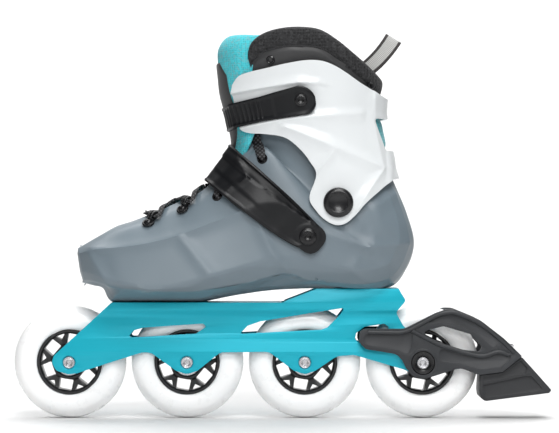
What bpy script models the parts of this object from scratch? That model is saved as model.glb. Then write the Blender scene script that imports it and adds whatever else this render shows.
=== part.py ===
"""Inline skate: hard boot shell with a hinged cuff, a removable padded liner, two ratchet straps,
laces, a channel frame, wheels with bearings and a heel brake.

Frame of the part: the toe points to -X, +Z is up, y = 0 is the wheels' plane and z = 0 is the ground.
Sizes below are in millimetres and angles in degrees; every mesh is written in metres.
"""

from math import asin, copysign, cos, degrees, pi, radians, sin, sqrt

import bmesh
import bpy
from mathutils import Matrix, Vector
from mathutils.bvhtree import BVHTree
from mathutils.geometry import convex_hull_2d

MM = 0.001
GAP = 0.3
RUNNING = 0.09

# Driving dimensions
WHEEL_RADIUS = 45.0
WHEEL_PITCH = 94.0
FIRST_AXLE_X = -169.5
HUB_RADIUS = 25.9
BEARING_RADIUS, BEARING_BORE, BEARING_WIDTH = 11.0, 4.0, 7.0
HUB_HALF_WIDTH = 12.0
WALL_INSIDE, WALL_OUTSIDE = 13.6, 16.6
DECK_HALF_WIDTH = 20.5
FRONT_DECK_Z, REAR_DECK_Z, DECK_THICKNESS = 93.0, 104.0, 4.0
MOUNT_X = (-100.5, 64.5)
SHELL_WALL, CUFF_WALL = 3.0, 3.0
LINER_GAP, LINER_WALL, LINER_EDGE, COLLAR_WALL = 1.9, 4.5, 0.5, 8.0
PIVOT_X, PIVOT_Z, PIVOT_PIN, PIVOT_CAP = 44.6, 172.4, 4.0, 11.8
CUFF_SIDE = 47.0  # half the cuff's width at its pivot
BRAKE_INSIDE, BRAKE_OUTSIDE, BRAKE_SEAT = 17.0, 22.8, 3.0
PAD_HALF_WIDTH = 19.5
TOP_SCREW_X, TOP_SCREW_Z = 15.1, 252.4
STRAP_SCREW_X, STRAP_SCREW_Z = 20.6, 145.7
STRAP_THICK, STRAP_LIFT = 2.6, 0.9
LACE_HOOKS = [(-105.0, 155.5), (-77.7, 166.5)]
LACE_EYELETS = [(-50.8, 177.4), (-15.2, 207.1)]
LACE_RADIUS = 1.2
LEVER_PIN = 1.3
AXLES_X = [FIRST_AXLE_X + i * WHEEL_PITCH for i in range(4)]

# Colours (linear RGB), roughness and metallic value of each material
FINISHES = {
    "white_tyre": ((0.87, 0.88, 0.88), 0.35, 0.0),
    "black_plastic": ((0.02, 0.021, 0.023), 0.4, 0.0),
    "teal_metal": ((0.02, 0.5, 0.62), 0.35, 0.8),
    "steel": ((0.6, 0.6, 0.62), 0.25, 1.0),
    "grey_shell": ((0.19, 0.23, 0.26), 0.45, 0.0),
    "white_cuff": ((0.85, 0.87, 0.88), 0.35, 0.0),
    "black_fabric": ((0.022, 0.023, 0.026), 0.9, 0.0),
    "teal_fabric": ((0.03, 0.42, 0.45), 0.9, 0.0),
    "black_rubber": ((0.03, 0.031, 0.034), 0.7, 0.0),
    "grey_webbing": ((0.45, 0.45, 0.44), 0.8, 0.0),
}


# ---------------------------------------------------------------- tools

def clear_scene():
    for obj in list(bpy.data.objects):
        bpy.data.objects.remove(obj)


def material(finish):
    found = bpy.data.materials.get(finish)
    if found:
        return found
    colour, roughness, metallic = FINISHES[finish]
    made = bpy.data.materials.new(finish)
    made.use_nodes = True
    shader = made.node_tree.nodes["Principled BSDF"]
    shader.inputs["Base Color"].default_value = (*colour, 1.0)
    shader.inputs["Roughness"].default_value = roughness
    shader.inputs["Metallic"].default_value = metallic
    return made


def mesh_object(name, points, faces, finish=None, at=(0, 0, 0), smooth=True):
    """A mesh object from points in mm, with its origin at a point in mm."""
    mesh = bpy.data.meshes.new(name)
    centre = Vector(at)
    mesh.from_pydata([(Vector(p) - centre) * MM for p in points], [], faces)
    mesh.update()
    if smooth:
        mesh.shade_smooth()
        mesh.set_sharp_from_angle(angle=radians(35))
    obj = bpy.data.objects.new(name, mesh)
    obj.location = centre * MM
    bpy.context.scene.collection.objects.link(obj)
    if finish:
        mesh.materials.append(material(finish))
    return obj


def outward(obj):
    """Faces of a closed mesh turned to point out."""
    made = bmesh.new()
    made.from_mesh(obj.data)
    bmesh.ops.recalc_face_normals(made, faces=made.faces)
    made.to_mesh(obj.data)
    made.free()
    return obj


def turned(name, profile, finish=None, at=(0, 0, 0), segments=24, bored=False, axis="Y"):
    """A solid of revolution about a line along Y (or Z) through a point. The profile is (radius, along)
    pairs; it closes on itself when bored, and otherwise its ends close on the axis."""
    centre = Vector(at)
    points, faces = [], []
    for radius, along in profile:
        for k in range(segments):
            angle = 2 * pi * k / segments - pi / 2
            across = (radius * cos(angle), radius * sin(angle))
            if axis == "Y":
                points.append(centre + Vector((across[0], along, across[1])))
            else:
                points.append(centre + Vector((across[0], across[1], along)))
    rings = len(profile)
    for i in range(rings if bored else rings - 1):
        a, b = i * segments, (i + 1) % rings * segments
        for k in range(segments):
            n = (k + 1) % segments
            faces.append((a + k, a + n, b + n, b + k))
    if not bored:
        faces.append(tuple(range(segments)))
        faces.append(tuple(range((rings - 1) * segments, rings * segments)))
    return outward(mesh_object(name, points, faces, finish, at))


def prism(name, outline, low, high, finish=None, smooth=False):
    """A side-view outline of (x, z) points, extruded along Y from low to high."""
    count = len(outline)
    points = [(x, y, z) for y in (low, high) for x, z in outline]
    faces = [tuple(range(count)), tuple(range(count, 2 * count))]
    faces += [(k, (k + 1) % count, count + (k + 1) % count, count + k) for k in range(count)]
    return outward(mesh_object(name, points, faces, finish, smooth=smooth))


def box(name, low, high, finish=None):
    outline = [(low[0], low[2]), (high[0], low[2]), (high[0], high[2]), (low[0], high[2])]
    return prism(name, outline, low[1], high[1], finish)


def boolean(obj, other, operation="DIFFERENCE"):
    """The other object cuts or joins this one, and is hidden."""
    change = obj.modifiers.new(operation.title(), "BOOLEAN")
    change.operation = operation
    change.solver = "EXACT"
    change.object = other
    other.hide_render = True
    other.display_type = "WIRE"
    return obj


def joined(name, cutters):
    """Several separate cutters as one object."""
    made = bmesh.new()
    for cutter in cutters:
        cutter.data.transform(Matrix.Translation(cutter.location))
        made.from_mesh(cutter.data)
        bpy.data.objects.remove(cutter)
    mesh = bpy.data.meshes.new(name)
    made.to_mesh(mesh)
    made.free()
    obj = bpy.data.objects.new(name, mesh)
    bpy.context.scene.collection.objects.link(obj)
    return obj


def through(values, t):
    """Catmull-Rom curve through equally spaced values; t runs from 0 to len - 1."""
    last = len(values) - 1
    i = min(int(t), last - 1)
    f = t - i
    p0, p1, p2, p3 = (values[min(max(k, 0), last)] for k in (i - 1, i, i + 1, i + 2))
    return (p1 * 2 + (p2 - p0) * f + (p0 * 2 - p1 * 5 + p2 * 4 - p3) * f * f
            + (p1 * 3 - p0 - p2 * 3 + p3) * f * f * f) * 0.5


def between(knots, x):
    """Straight-line value at x from (x, value) knots."""
    if x <= knots[0][0]:
        return knots[0][1]
    for (x0, v0), (x1, v1) in zip(knots, knots[1:]):
        if x <= x1:
            return v0 + (v1 - v0) * (x - x0) / (x1 - x0)
    return knots[-1][1]


def rounded(outline, radius, arc=4):
    """The outline with each corner replaced by an arc; radius is one number, or one for each corner."""
    count = len(outline)
    made = []
    for k, corner in enumerate(outline):
        r = radius[k] if hasattr(radius, "__len__") else radius
        here = Vector(corner)
        back = Vector(outline[k - 1]) - here
        on = Vector(outline[(k + 1) % count]) - here
        if r <= 0:
            made.append(tuple(here))
            continue
        half = back.angle(on) / 2
        cut = min(r / abs(sin(half) / cos(half)), back.length * 0.48, on.length * 0.48)
        start, end = here + back.normalized() * cut, here + on.normalized() * cut
        for step in range(arc + 1):
            t = step / arc
            made.append(tuple(start * (1 - t) ** 2 + here * 2 * t * (1 - t) + end * t * t))
    return made


# ---------------------------------------------------------------- boot surfaces

# Rails of half the shell's outside from the toe, under the sole or over the instep, to the upper rim.
# Each row is one station; each point is (x, half width, z). A half width of None lies on the leg form.
SHELL_STATIONS = [
    [(-160, 0, 108.6), (-159, 14, 108.8), (-156.5, 25, 110.5), (-158, 28, 118),
     (-160.5, 26, 132), (-162, 16, 135.5), (-163, 8, 136)],
    [(-151, 0, 106.3), (-150, 20, 106.5), (-147, 38, 108), (-147.5, 42, 116),
     (-150, 38, 134.5), (-149, 26, 141), (-148, 11, 144.5)],
    [(-143, 0, 104), (-142, 23, 104), (-135, 46, 104.5), (-134, 49.5, 112),
     (-135, 44, 136), (-134, 31, 147), (-132, 12.5, 153.5)],
    [(-134.4, 0, 93), (-133.5, 24, 93), (-121, 50.5, 102), (-120, 53, 108.5),
     (-120, 46.5, 137.5), (-119, 34, 151), (-118, 14, 158)],
    [(-106, 0, 93), (-105, 26, 93), (-99, 52.5, 100), (-97, 55, 104.5),
     (-99, 48.5, 141.3), (-98, 35, 157), (-96, 16, 166.8)],
    [(-68.5, 0, 93), (-68, 27, 93), (-62, 51, 101.5), (-55.5, 54, 114.5),
     (-80.5, 49, 146.4), (-80, 36, 163.5), (-76, 18, 175.8)],
    [(-38, 0, 98.4), (-38, 27, 98.4), (-30, 47, 106.5), (-26, 50.5, 122.5),
     (-50, 47.5, 158), (-58, 36, 174.5), (-61, 20, 183.5)],
    [(-10, 0, 102.5), (-10, 27, 102.5), (5, 43, 116.5), (-6, 47.5, 128),
     (-30, 46.5, 166), (-41, 36.5, 189), (-47.5, 22, 199.5)],
    [(20, 0, 104), (20, 27, 104), (20, 39.5, 110), (20, 45, 127),
     (-8, 45.5, 172), (-24, 37, 202), (-34.5, 23.5, 213.5)],
    [(45, 0, 104), (44, 27, 104), (47, 36.5, 108), (52, 43.5, 120),
     (22, 45, 163), (-8, 38, 211), (-27.5, None, 223.5)],
    [(85, 0, 104), (80, 19, 104.3), (80, 30, 110.5), (80, 37, 122),
     (66, 42.5, 138), (15, None, 190), (-27, None, 227)],
    [(100, 0, 119), (98, 13, 119), (95, 24, 123), (89, 34, 133),
     (74, 41.5, 147), (27, None, 204), (-27, None, 229.5)],
    [(106.5, 0, 140), (105, 12.5, 141), (101, 23.5, 143.5), (93.5, 33, 149),
     (78, 40.5, 161), (38, None, 211), (-27, None, 231.5)],
    [(101, 0, 163), (99.5, 12, 164), (95.5, 22.5, 167), (87.5, 31.5, 172),
     (73, 36.2, 182), (38, None, 217), (-27, None, 233)],
    [(92, 0, 185), (90.5, 11.5, 186), (86, 21.5, 188), (77, 30.5, 191),
     (62, 37, 198), (33, None, 221), (-27.5, None, 234.5)],
    [(84, 0, 203), (82.5, 11.5, 203.5), (78, 21, 205), (69, 30, 207.5),
     (54, 37, 211.5), (27, None, 225), (-28, None, 236)],
]
THROAT_STATION = 3
THROAT_RAIL = 7

# The leg form is the cuff's outside: height, back, widest place, front, half width
LEG = [
    (150, 108, 45, -62, 46.5),
    (172, 100.5, 43, -52, 47),
    (192, 95, 38, -45, 46.5),
    (213, 88.3, 33, -42.5, 45.8),
    (240, 83, 27, -47, 46.3),
    (260, 83.5, 24, -53, 48),
    (312, 84.5, 20, -58, 50.5),
]
LEG_BACK_POWER, LEG_FRONT_POWER = 2.35, 2.1
SHELL_UNDER_LEG = 8.2


def leg_section(z):
    last = len(LEG) - 1
    t = between([(row[0], k) for k, row in enumerate(LEG)], z)
    rows = [Vector(row[1:]) for row in LEG]
    return through(rows, min(max(t, 0), last - 1e-6))


def leg_point(phi, z, out):
    """A point of the leg form moved outwards. phi is 0 at the back and 180 at the front, on the left."""
    back, widest, front, half = leg_section(z)
    c, s = cos(radians(phi)), sin(radians(phi))
    power = LEG_BACK_POWER if c > 0 else LEG_FRONT_POWER
    reach = (back - widest if c > 0 else widest - front) + out
    x = widest + copysign(reach * abs(c) ** (2 / power), c)
    return Vector((x, -copysign((half + out) * abs(s) ** (2 / power), s), z))


def leg_phi(x, z, out=0.0):
    back, widest, front, _ = leg_section(z)
    reach = (back - widest if x > widest else widest - front) + out
    power = LEG_BACK_POWER if x > widest else LEG_FRONT_POWER
    share = min(abs(x - widest) / reach, 1.0) ** (power / 2)
    angle = degrees(asin(share))
    return 90 - angle if x > widest else 90 + angle


def under_leg(x, z):
    """A point of the shell's upper part, just inside the cuff."""
    return Vector((x, -leg_point(leg_phi(x, z, -SHELL_UNDER_LEG), z, -SHELL_UNDER_LEG).y, z))


def shell_half():
    """Stations of one side of the shell's outside, as vectors with y the half width. One more rail than
    the table has runs midway between its last two, bulged out or on the leg form."""
    rows = []
    for station in SHELL_STATIONS:
        row = [under_leg(x, z) if half is None else Vector((x, half, z)) for x, half, z in station]
        middle = (row[-2] + row[-1]) / 2
        if station[-1][1] is None:
            middle = under_leg(middle.x, middle.z)
        else:
            run = row[-1] - row[-2]
            middle += Vector((0, run.z, -run.y)).normalized() * 1.2
        row.insert(-1, middle)
        rows.append(row)
    return rows


def refined(rows, steps):
    """More stations between the given ones, on curves along each rail and kept clear of the frame's decks."""
    rails = list(zip(*rows))
    count = (len(rows) - 1) * steps
    made = [[through(rail, i / steps) for rail in rails] for i in range(count + 1)]
    for row in made:
        for p in row[:2]:
            deck = REAR_DECK_Z if p.x > 42 else FRONT_DECK_Z
            p.z = max(p.z, deck + GAP)
    return made


def boot_surface(rows, closed_to, toe_cap=True):
    """Points and faces of both sides. Rows up to closed_to also meet over the instep, and later ones leave
    the throat open."""
    rails = len(rows[0])
    points, index = [], []
    for row in rows:
        left, right = [], []
        for j, p in enumerate(row):
            left.append(len(points))
            points.append(Vector((p.x, -p.y, p.z)))
            if j == 0:
                right.append(left[0])
            else:
                right.append(len(points))
                points.append(Vector((p.x, p.y, p.z)))
        index.append((left, right))
    faces = []
    for i in range(len(rows) - 1):
        (l0, r0), (l1, r1) = index[i], index[i + 1]
        for j in range(rails - 1):
            faces.append((l0[j], l0[j + 1], l1[j + 1], l1[j]))
            faces.append((r0[j + 1], r0[j], r1[j], r1[j + 1]))
        if i < closed_to:
            faces.append((l0[-1], r0[-1], r1[-1], l1[-1]))
    if toe_cap:
        left, right = index[0]
        ring = left + right[:0:-1]
        centre = len(points)
        points.append(sum((points[k] for k in ring), Vector()) / len(ring) + Vector((-1.0, 0, 0)))
        faces += [(ring[k], centre, ring[(k + 1) % len(ring)]) for k in range(len(ring))]
    return points, faces


def moved_along_normals(points, faces, distance):
    """The surface's points moved along its smooth normals."""
    mesh = bpy.data.meshes.new("offset")
    mesh.from_pydata(points, [], faces)
    mesh.update()
    moved = [v.co + v.normal * distance for v in mesh.vertices]
    bpy.data.meshes.remove(mesh)
    return moved


def walled(name, points, faces, wall, finish):
    """A sheet given a wall on its inner side."""
    obj = mesh_object(name, points, faces, finish)
    solid = obj.modifiers.new("Wall", "SOLIDIFY")
    solid.thickness = wall * MM
    solid.offset = -1
    return obj


def facing_out(points, faces, inside):
    """The faces as they are, or all turned round, so that most of them point away from a point inside."""
    total = 0.0
    for face in faces:
        centre = sum((points[k] for k in face), Vector()) / len(face)
        a, b, c = (points[k] for k in face[:3])
        total += (b - a).cross(c - a).dot(centre - inside)
    return faces if total > 0 else [tuple(reversed(face)) for face in faces]


def leg_band(columns, rows, out, both_sides=True, skip=lambda k, v: False):
    """A sheet on the leg form. columns are (lower phi, lower z, upper phi, upper z), from the back on."""
    if both_sides:
        mirror = [(-a, b, -c, d) for a, b, c, d in columns if abs(a) > 1e-6 or abs(c) > 1e-6]
        columns = mirror[::-1] + columns
    points, faces = [], []
    for low_phi, low_z, high_phi, high_z in columns:
        for r in range(rows + 1):
            v = r / rows
            phi, z = low_phi + (high_phi - low_phi) * v, low_z + (high_z - low_z) * v
            points.append(leg_point(phi, z, out(phi, z)))
    middle = len(columns) // 2
    for k in range(len(columns) - 1):
        for r in range(rows):
            if skip(min(abs(k - middle), abs(k + 1 - middle)), (r + 0.5) / rows):
                continue
            a, b = k * (rows + 1) + r, (k + 1) * (rows + 1) + r
            faces.append((a, b, b + 1, a + 1))
    return points, faces


# ---------------------------------------------------------------- wheels

def make_wheel(number, x):
    at = (x, 0, WHEEL_RADIUS)
    half = [(HUB_RADIUS + GAP, 10.2), (31.0, 12.1), (37.0, 11.4), (42.3, 7.4)]
    profile = half + [(WHEEL_RADIUS, 0)] + [(r, -y) for r, y in reversed(half)]
    turned(f"tyre_{number}", profile, "white_tyre", at, 32, bored=True)
    make_hub(number, at)
    inner, outer = 4.9, HUB_HALF_WIDTH - 0.1
    for side, name in ((-1, "left"), (1, "right")):
        profile = [(BEARING_BORE + RUNNING, side * inner), (BEARING_RADIUS - 0.15, side * inner),
                   (BEARING_RADIUS - 0.15, side * outer), (BEARING_BORE + RUNNING, side * outer)]
        turned(f"bearing_{name}_{number}", profile, "steel", at, 16, bored=True)
    sleeve = [(BEARING_BORE + GAP, -4.6), (5.8, -4.6), (5.8, 4.6), (BEARING_BORE + GAP, 4.6)]
    turned(f"bearing_spacer_{number}", sleeve, "steel", at, 16, bored=True)
    make_axle(number, at)


def polar_outline(centre, corners):
    return [(centre[0] + r * cos(radians(a)), centre[2] + r * sin(radians(a))) for r, a in corners]


def make_hub(number, at):
    half = [(BEARING_RADIUS + 0.15, HUB_HALF_WIDTH), (13.6, HUB_HALF_WIDTH), (14.8, 9.0),
            (HUB_RADIUS, 10.2)]
    profile = half + [(r, -y) for r, y in reversed(half)]
    hub = turned(f"hub_{number}", profile, "black_plastic", at, 24, bored=True)
    windows = []
    for spoke in range(6):
        turn = -100 + 60 * spoke
        quad = [(15.2, turn - 21), (15.2, turn + 21), (23.4, turn + 12.5), (23.4, turn - 12.5)]
        wedge = [(19.6, turn + 30), (23.2, turn + 20), (23.2, turn + 40)]
        for corners in (quad, wedge):
            windows.append(prism("window", polar_outline(at, corners), -15, 15))
    boolean(hub, joined(f"hub_windows_{number}", windows))


def make_axle(number, at):
    """A shouldered axle screw. Its head is sunk in the left wall, and the last one's in the brake's arm."""
    reach = BRAKE_OUTSIDE - 1.0 if number == 4 else WALL_OUTSIDE - 0.2
    head = 1.7 if number == 4 else 1.2
    profile = [(4.4, -reach), (5.2, -reach + 0.6), (5.2, -reach + head), (BEARING_BORE, -reach + head),
               (BEARING_BORE, reach)]
    turned(f"axle_{number}", profile, "steel", at, 16)


# ---------------------------------------------------------------- frame

FRAME_OUTLINE = [
    (-132, 96), (-181.5, 50.5), (-183.2, 45), (-179.5, 38.5), (-170, 35.6), (-163, 36.4), (-143, 43),
    (-111, 53), (-104, 52.8), (-84, 38.4), (-75.5, 35.6), (-67, 38.4), (-49, 53), (-10, 53.5), (10, 38.4),
    (18.5, 35.6), (27, 38.4), (44, 50), (58, 51), (97, 39.6), (106, 36), (114, 35.6), (122, 39), (123.5, 46),
    (119, 53), (97, 74.5), (91, 85), (99, 94.5), (95, 100.8), (90, 110), (43.5, 110), (2, 93.8), (-20, 96),
]
FRONT_SLOT = [(-121.5, 66.3), (-118, 70.6), (-110, 72.8), (-62.6, 76), (-60, 73.6), (-68.3, 68),
              (-119.6, 65)]
MIDDLE_SLOT = [(-32.5, 68.6), (-27, 74.3), (-17, 77.8), (51, 89), (45.5, 82), (36.6, 73), (31.8, 71.2),
               (-31.5, 68)]
REAR_SLOT = [(58.5, 64), (59.5, 68.5), (66, 73.5), (82, 76), (86, 73), (76, 63), (61, 61)]


def make_frame():
    """A channel: two side walls with a flared top, and a deck under the ball and one under the heel."""
    top = 112.0
    half = [(WALL_INSIDE, 30), (WALL_OUTSIDE, 30), (WALL_OUTSIDE, 77), (DECK_HALF_WIDTH, 85),
            (DECK_HALF_WIDTH, top), (DECK_HALF_WIDTH - 3, top), (DECK_HALF_WIDTH - 3, 86.2),
            (WALL_INSIDE, 78.2)]
    points, faces = [], []
    for side in (-1, 1):
        for x in (-190, 130):
            points += [(x, side * y, z) for y, z in half]
        count = len(half)
        near, far = len(points) - 2 * count, len(points) - count
        faces += [tuple(range(near, far)), tuple(range(far, far + count))]
        for k in range(count):
            n = (k + 1) % count
            faces.append((near + k, near + n, far + n, far + k))
    walls = outward(mesh_object("frame", points, faces, "teal_metal", smooth=False))
    inside = DECK_HALF_WIDTH - 1.5
    deck = box("front_deck", (-150, -inside, FRONT_DECK_Z - DECK_THICKNESS), (0, inside, 100))
    heel_deck = box("heel_deck", (43.5, -inside, REAR_DECK_Z - DECK_THICKNESS), (96, inside, 108))
    bosses = []
    for x in AXLES_X:
        for side in (-1, 1):
            profile = [(6.2, side * (HUB_HALF_WIDTH + GAP)), (6.2, side * (WALL_INSIDE + 1))]
            bosses.append(turned("boss", profile, None, (x, 0, WHEEL_RADIUS), 16))
    boolean(walls, joined("frame_decks_and_bosses", [deck, heel_deck] + bosses), "UNION")
    boolean(walls, prism("frame_outline", FRAME_OUTLINE, -30, 30), "INTERSECT")
    cutters = [prism("slot", outline, -30, 30) for outline in (FRONT_SLOT, MIDDLE_SLOT, REAR_SLOT)]
    cutters.append(box("front_top", (-160, -30, FRONT_DECK_Z), (2.2, 30, 120)))
    cutters.append(box("rear_top", (20, -30, REAR_DECK_Z), (110, 30, 120)))
    boolean(walls, joined("frame_slots", cutters))
    holes = []
    for x in AXLES_X:
        sunk = WALL_OUTSIDE - 1.7
        profile = [(5.6, -30), (5.6, -sunk), (BEARING_BORE + GAP, -sunk), (BEARING_BORE + GAP, 30)]
        holes.append(turned("axle_hole", profile, None, (x, 0, WHEEL_RADIUS), 16))
    for x in MOUNT_X:
        holes.append(turned("mount_hole", [(3.4, 80), (3.4, 120)], None, (x, 0, 0), 16, axis="Z"))
    well = sqrt((WHEEL_RADIUS + 2) ** 2 - (FRONT_DECK_Z - DECK_THICKNESS - WHEEL_RADIUS) ** 2)
    holes.append(box("wheel_well", (AXLES_X[1] - well, -14, 80), (AXLES_X[1] + well, 14, 100)))
    boolean(walls, joined("frame_holes", holes))
    return walls


def make_mount_fasteners():
    """A screw from under each deck, into a flanged nut that fills the hole in the sole."""
    for x, deck, name in ((MOUNT_X[0], FRONT_DECK_Z, "front"), (MOUNT_X[1], REAR_DECK_Z, "rear")):
        under = deck - DECK_THICKNESS - GAP
        screw = [(4.0, under - 3.4), (5.4, under - 2.8), (5.4, under), (3.0, under), (3.0, deck + 2.6)]
        turned(f"mount_screw_{name}", screw, "steel", (x, 0, 0), 16, axis="Z")
        low, high = deck + 2 * GAP, deck + 2.9
        nut = [(3.0 + GAP, low), (6.5, low), (6.5, high), (3.0 + GAP, high)]
        turned(f"sole_nut_{name}", nut, "steel", (x, 0, 0), 16, bored=True, axis="Z")


# ---------------------------------------------------------------- heel brake

BRAKE_OUTLINE = [
    (61, 62), (62.5, 71), (68, 72.3), (97.5, 72), (123, 85), (131, 87.6), (138, 87.4), (157.5, 79.4),
    (177, 64.3), (191.2, 50.3), (175.5, 37.8), (156.5, 35.6), (143, 40.7), (138, 40), (120.5, 34.3),
    (112.5, 32.6), (104, 34.5), (99, 41), (96, 47), (91.5, 52), (67, 56),
]
BRAKE_WINDOW = [(112.5, 70), (128.5, 74.3), (150, 68), (159.5, 57.8), (157.5, 53.8), (144.5, 55.4),
                (128.5, 60.2), (117.5, 64.2)]
PAD_OUTLINE = [(158.6, 35.3), (175.4, 37.2), (191.3, 49.7), (215.0, 23.2), (213.0, 20.9), (162, 14.4),
               (158.5, 17), (157.8, 22)]
PAD_SCREW_TOP, PAD_SCREW_END = (182.5, 59.5), (175.0, 27.0)


def make_brake():
    outline = rounded(BRAKE_OUTLINE, 2.5, 1)
    bracket = prism("brake_bracket", outline, -BRAKE_OUTSIDE, BRAKE_OUTSIDE, "black_plastic")
    channel = box("brake_channel", (40, -BRAKE_INSIDE, 0), (162, BRAKE_INSIDE, 120))
    window = prism("brake_window", rounded(BRAKE_WINDOW, 2.5, 2), -30, 30)
    boolean(bracket, channel)
    boolean(bracket, window)
    seats = [turned("axle_way", [(BEARING_BORE + GAP, -30), (BEARING_BORE + GAP, 30)], None,
                    (AXLES_X[3], 0, WHEEL_RADIUS), 16)]
    for side in (-1, 1):
        profile = [(9.6, side * 30), (9.6, side * (BRAKE_OUTSIDE - BRAKE_SEAT))]
        seats.append(turned("collar_seat", profile, None, (AXLES_X[3], 0, WHEEL_RADIUS), 20))
    boolean(bracket, merged("brake_axle_seats", seats))
    for side, name in ((-1, "left"), (1, "right")):
        inner, outer = side * (BRAKE_OUTSIDE - BRAKE_SEAT + GAP), side * (BRAKE_OUTSIDE - 0.4)
        profile = [(5.6, inner), (9.3, inner), (9.3, outer), (5.6, outer)]
        at = (AXLES_X[3], 0, WHEEL_RADIUS)
        turned(f"axle_collar_{name}", profile, "black_rubber", at, 20, bored=True)
    outline = rounded(PAD_OUTLINE, 1.5, 2)
    pad = prism("brake_pad", outline, -PAD_HALF_WIDTH, PAD_HALF_WIDTH, "black_rubber")
    way = Vector((PAD_SCREW_END[0] - PAD_SCREW_TOP[0], 0, PAD_SCREW_END[1] - PAD_SCREW_TOP[1]))
    turn = Vector((0, 0, 1)).rotation_difference(way.normalized())
    hole = [(5.0, -20), (5.0, 4.0), (2.5 + GAP, 4.0), (2.5 + GAP, way.length + 1)]
    screw = [(3.6, 0), (4.6, 0.8), (4.6, 3.7), (2.5, 3.7), (2.5, way.length)]
    cutter = turned("pad_screw_hole", hole, None, (0, 0, 0), 16, axis="Z")
    made = turned("brake_pad_screw", screw, "steel", (0, 0, 0), 16, axis="Z")
    for obj in (cutter, made):
        obj.rotation_mode = "QUATERNION"
        obj.rotation_quaternion = turn
        obj.location = Vector((PAD_SCREW_TOP[0], 0, PAD_SCREW_TOP[1])) * MM
    boolean(bracket, cutter)
    boolean(pad, cutter)


def merged(name, parts):
    """Overlapping cutters united into one object."""
    first = parts[0]
    first.name = name
    for other in parts[1:]:
        boolean(first, other, "UNION")
    return first


# ---------------------------------------------------------------- boot

def make_shell():
    """The hard lower boot; returns its outer surface for the parts that lie on it."""
    rows = refined(shell_half(), 2)
    points, faces = boot_surface(rows, THROAT_STATION * 2)
    faces = facing_out(points, faces, Vector((0, 0, 140)))
    shell = walled("shell", points, faces, SHELL_WALL, "grey_shell")
    cutters = [turned("pivot_way", [(4.4, -80), (4.4, 80)], None, (PIVOT_X, 0, PIVOT_Z), 16)]
    for x, z in LACE_EYELETS:
        cutters.append(turned("eyelet_way", [(3.1, -80), (3.1, 80)], None, (x, 0, z), 12))
    at = (STRAP_SCREW_X, 0, STRAP_SCREW_Z)
    cutters.append(turned("strap_screw_way", [(2.8, -80), (2.8, 0)], None, at, 12))
    for x in MOUNT_X:
        way = [(6.5 + GAP, 80), (6.5 + GAP, 112)]
        cutters.append(turned("nut_way", way, None, (x, 0, 0), 16, axis="Z"))
    boolean(shell, joined("shell_holes", cutters))
    return points, faces


def make_liner():
    """The foot part of the liner: the shell's inside with a wider throat, below the ankle."""
    rows = refined(shell_half(), 1)
    for row in rows:
        row[5] = row[4].lerp(row[5], LINER_EDGE)
    rows = [row[:6] for row in rows[:12]]
    points, faces = boot_surface(rows, THROAT_STATION)
    faces = facing_out(points, faces, Vector((0, 0, 140)))
    points = moved_along_normals(points, faces, -(SHELL_WALL + LINER_GAP))
    walled("liner_foot", points, faces, LINER_WALL, "black_fabric")


def make_footbed():
    """An insole that lies in the liner from the toe to the heel."""
    rows = refined(shell_half(), 1)[2:11]
    lift = SHELL_WALL + LINER_GAP + LINER_WALL + 9.2
    strip = []
    for row in rows:
        edge = row[1].lerp(row[2], 0.25)
        places = ((row[0], 0.0), (row[1], row[1].y - 8), (edge, edge.y - 13))
        strip.append([Vector((p.x, y, p.z + lift)) for p, y in places])
    strip[0][0].x, strip[0][1].x, strip[0][2].x = -141, -140, -137
    strip[-1][0].x, strip[-1][1].x, strip[-1][2].x = 88, 83, 76
    points, faces = boot_surface(strip, 0, toe_cap=False)
    faces = facing_out(points, faces, Vector((0, 0, -2000)))
    walled("footbed", points, faces, 3.0, "black_fabric")


CUFF_COLUMNS = [
    ((95.0, 192.0), (83.5, 255.5)),
    ((91.5, 192.0), (83.2, 255.4)),
    ((84.0, 187.5), (82.0, 255.2)),
    ((75.0, 180.0), (80.5, 255.8)),
    ((65.6, 171.5), (78.5, 256.8)),
    ((57.0, 161.5), (76.0, 258.2)),
    ((51.0, 156.6), (73.0, 260.0)),
    ((43.5, 154.8), (69.5, 262.0)),
    ((35.5, 158.0), (65.5, 264.3)),
    ((28.0, 165.0), (61.0, 267.0)),
    ((22.0, 176.5), (56.0, 270.5)),
    ((27.3, 194.0), (49.5, 275.0)),
    ((23.0, 203.5), (42.0, 279.5)),
    ((14.5, 214.5), (32.5, 283.2)),
    ((2.7, 223.6), (20.0, 284.0)),
    ((-13.0, 226.5), (4.0, 281.6)),
    ((-25.0, 227.5), (-12.0, 278.0)),
    ((-31.3, 231.0), (-25.0, 275.2)),
    ((-35.0, 241.0), (-33.5, 272.0)),
    ((-37.6, 251.0), (-38.3, 265.5)),
]


def on_leg(pairs):
    return [(leg_phi(*low), low[1], leg_phi(*high), high[1]) for low, high in pairs]


def make_cuff():
    columns = on_leg(CUFF_COLUMNS)

    def in_window(k, v):
        return k < 2 and 0.36 < v < 0.74

    points, faces = leg_band(columns, 5, lambda phi, z: 0.0, skip=in_window)
    faces = facing_out(points, faces, Vector((25, 0, 220)))
    cuff = walled("cuff", points, faces, CUFF_WALL, "white_cuff")
    way = PIVOT_PIN + RUNNING
    cutters = [turned("cuff_pivot_way", [(way, -80), (way, 80)], None, (PIVOT_X, 0, PIVOT_Z), 16),
               turned("top_screw_way", [(2.8, -80), (2.8, 0)], None, (TOP_SCREW_X, 0, TOP_SCREW_Z), 12)]
    boolean(cuff, joined("cuff_holes", cutters))
    face = CUFF_SIDE + 0.35
    for side, name in ((-1, "left"), (1, "right")):
        profile = [(9.5, side * (face + 2.6)), (PIVOT_CAP, side * (face + 1.2)), (PIVOT_CAP, side * face),
                   (PIVOT_PIN, side * face), (PIVOT_PIN, side * 37.6)]
        turned(f"cuff_pivot_{name}", profile, "black_plastic", (PIVOT_X, 0, PIVOT_Z), 24)


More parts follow.
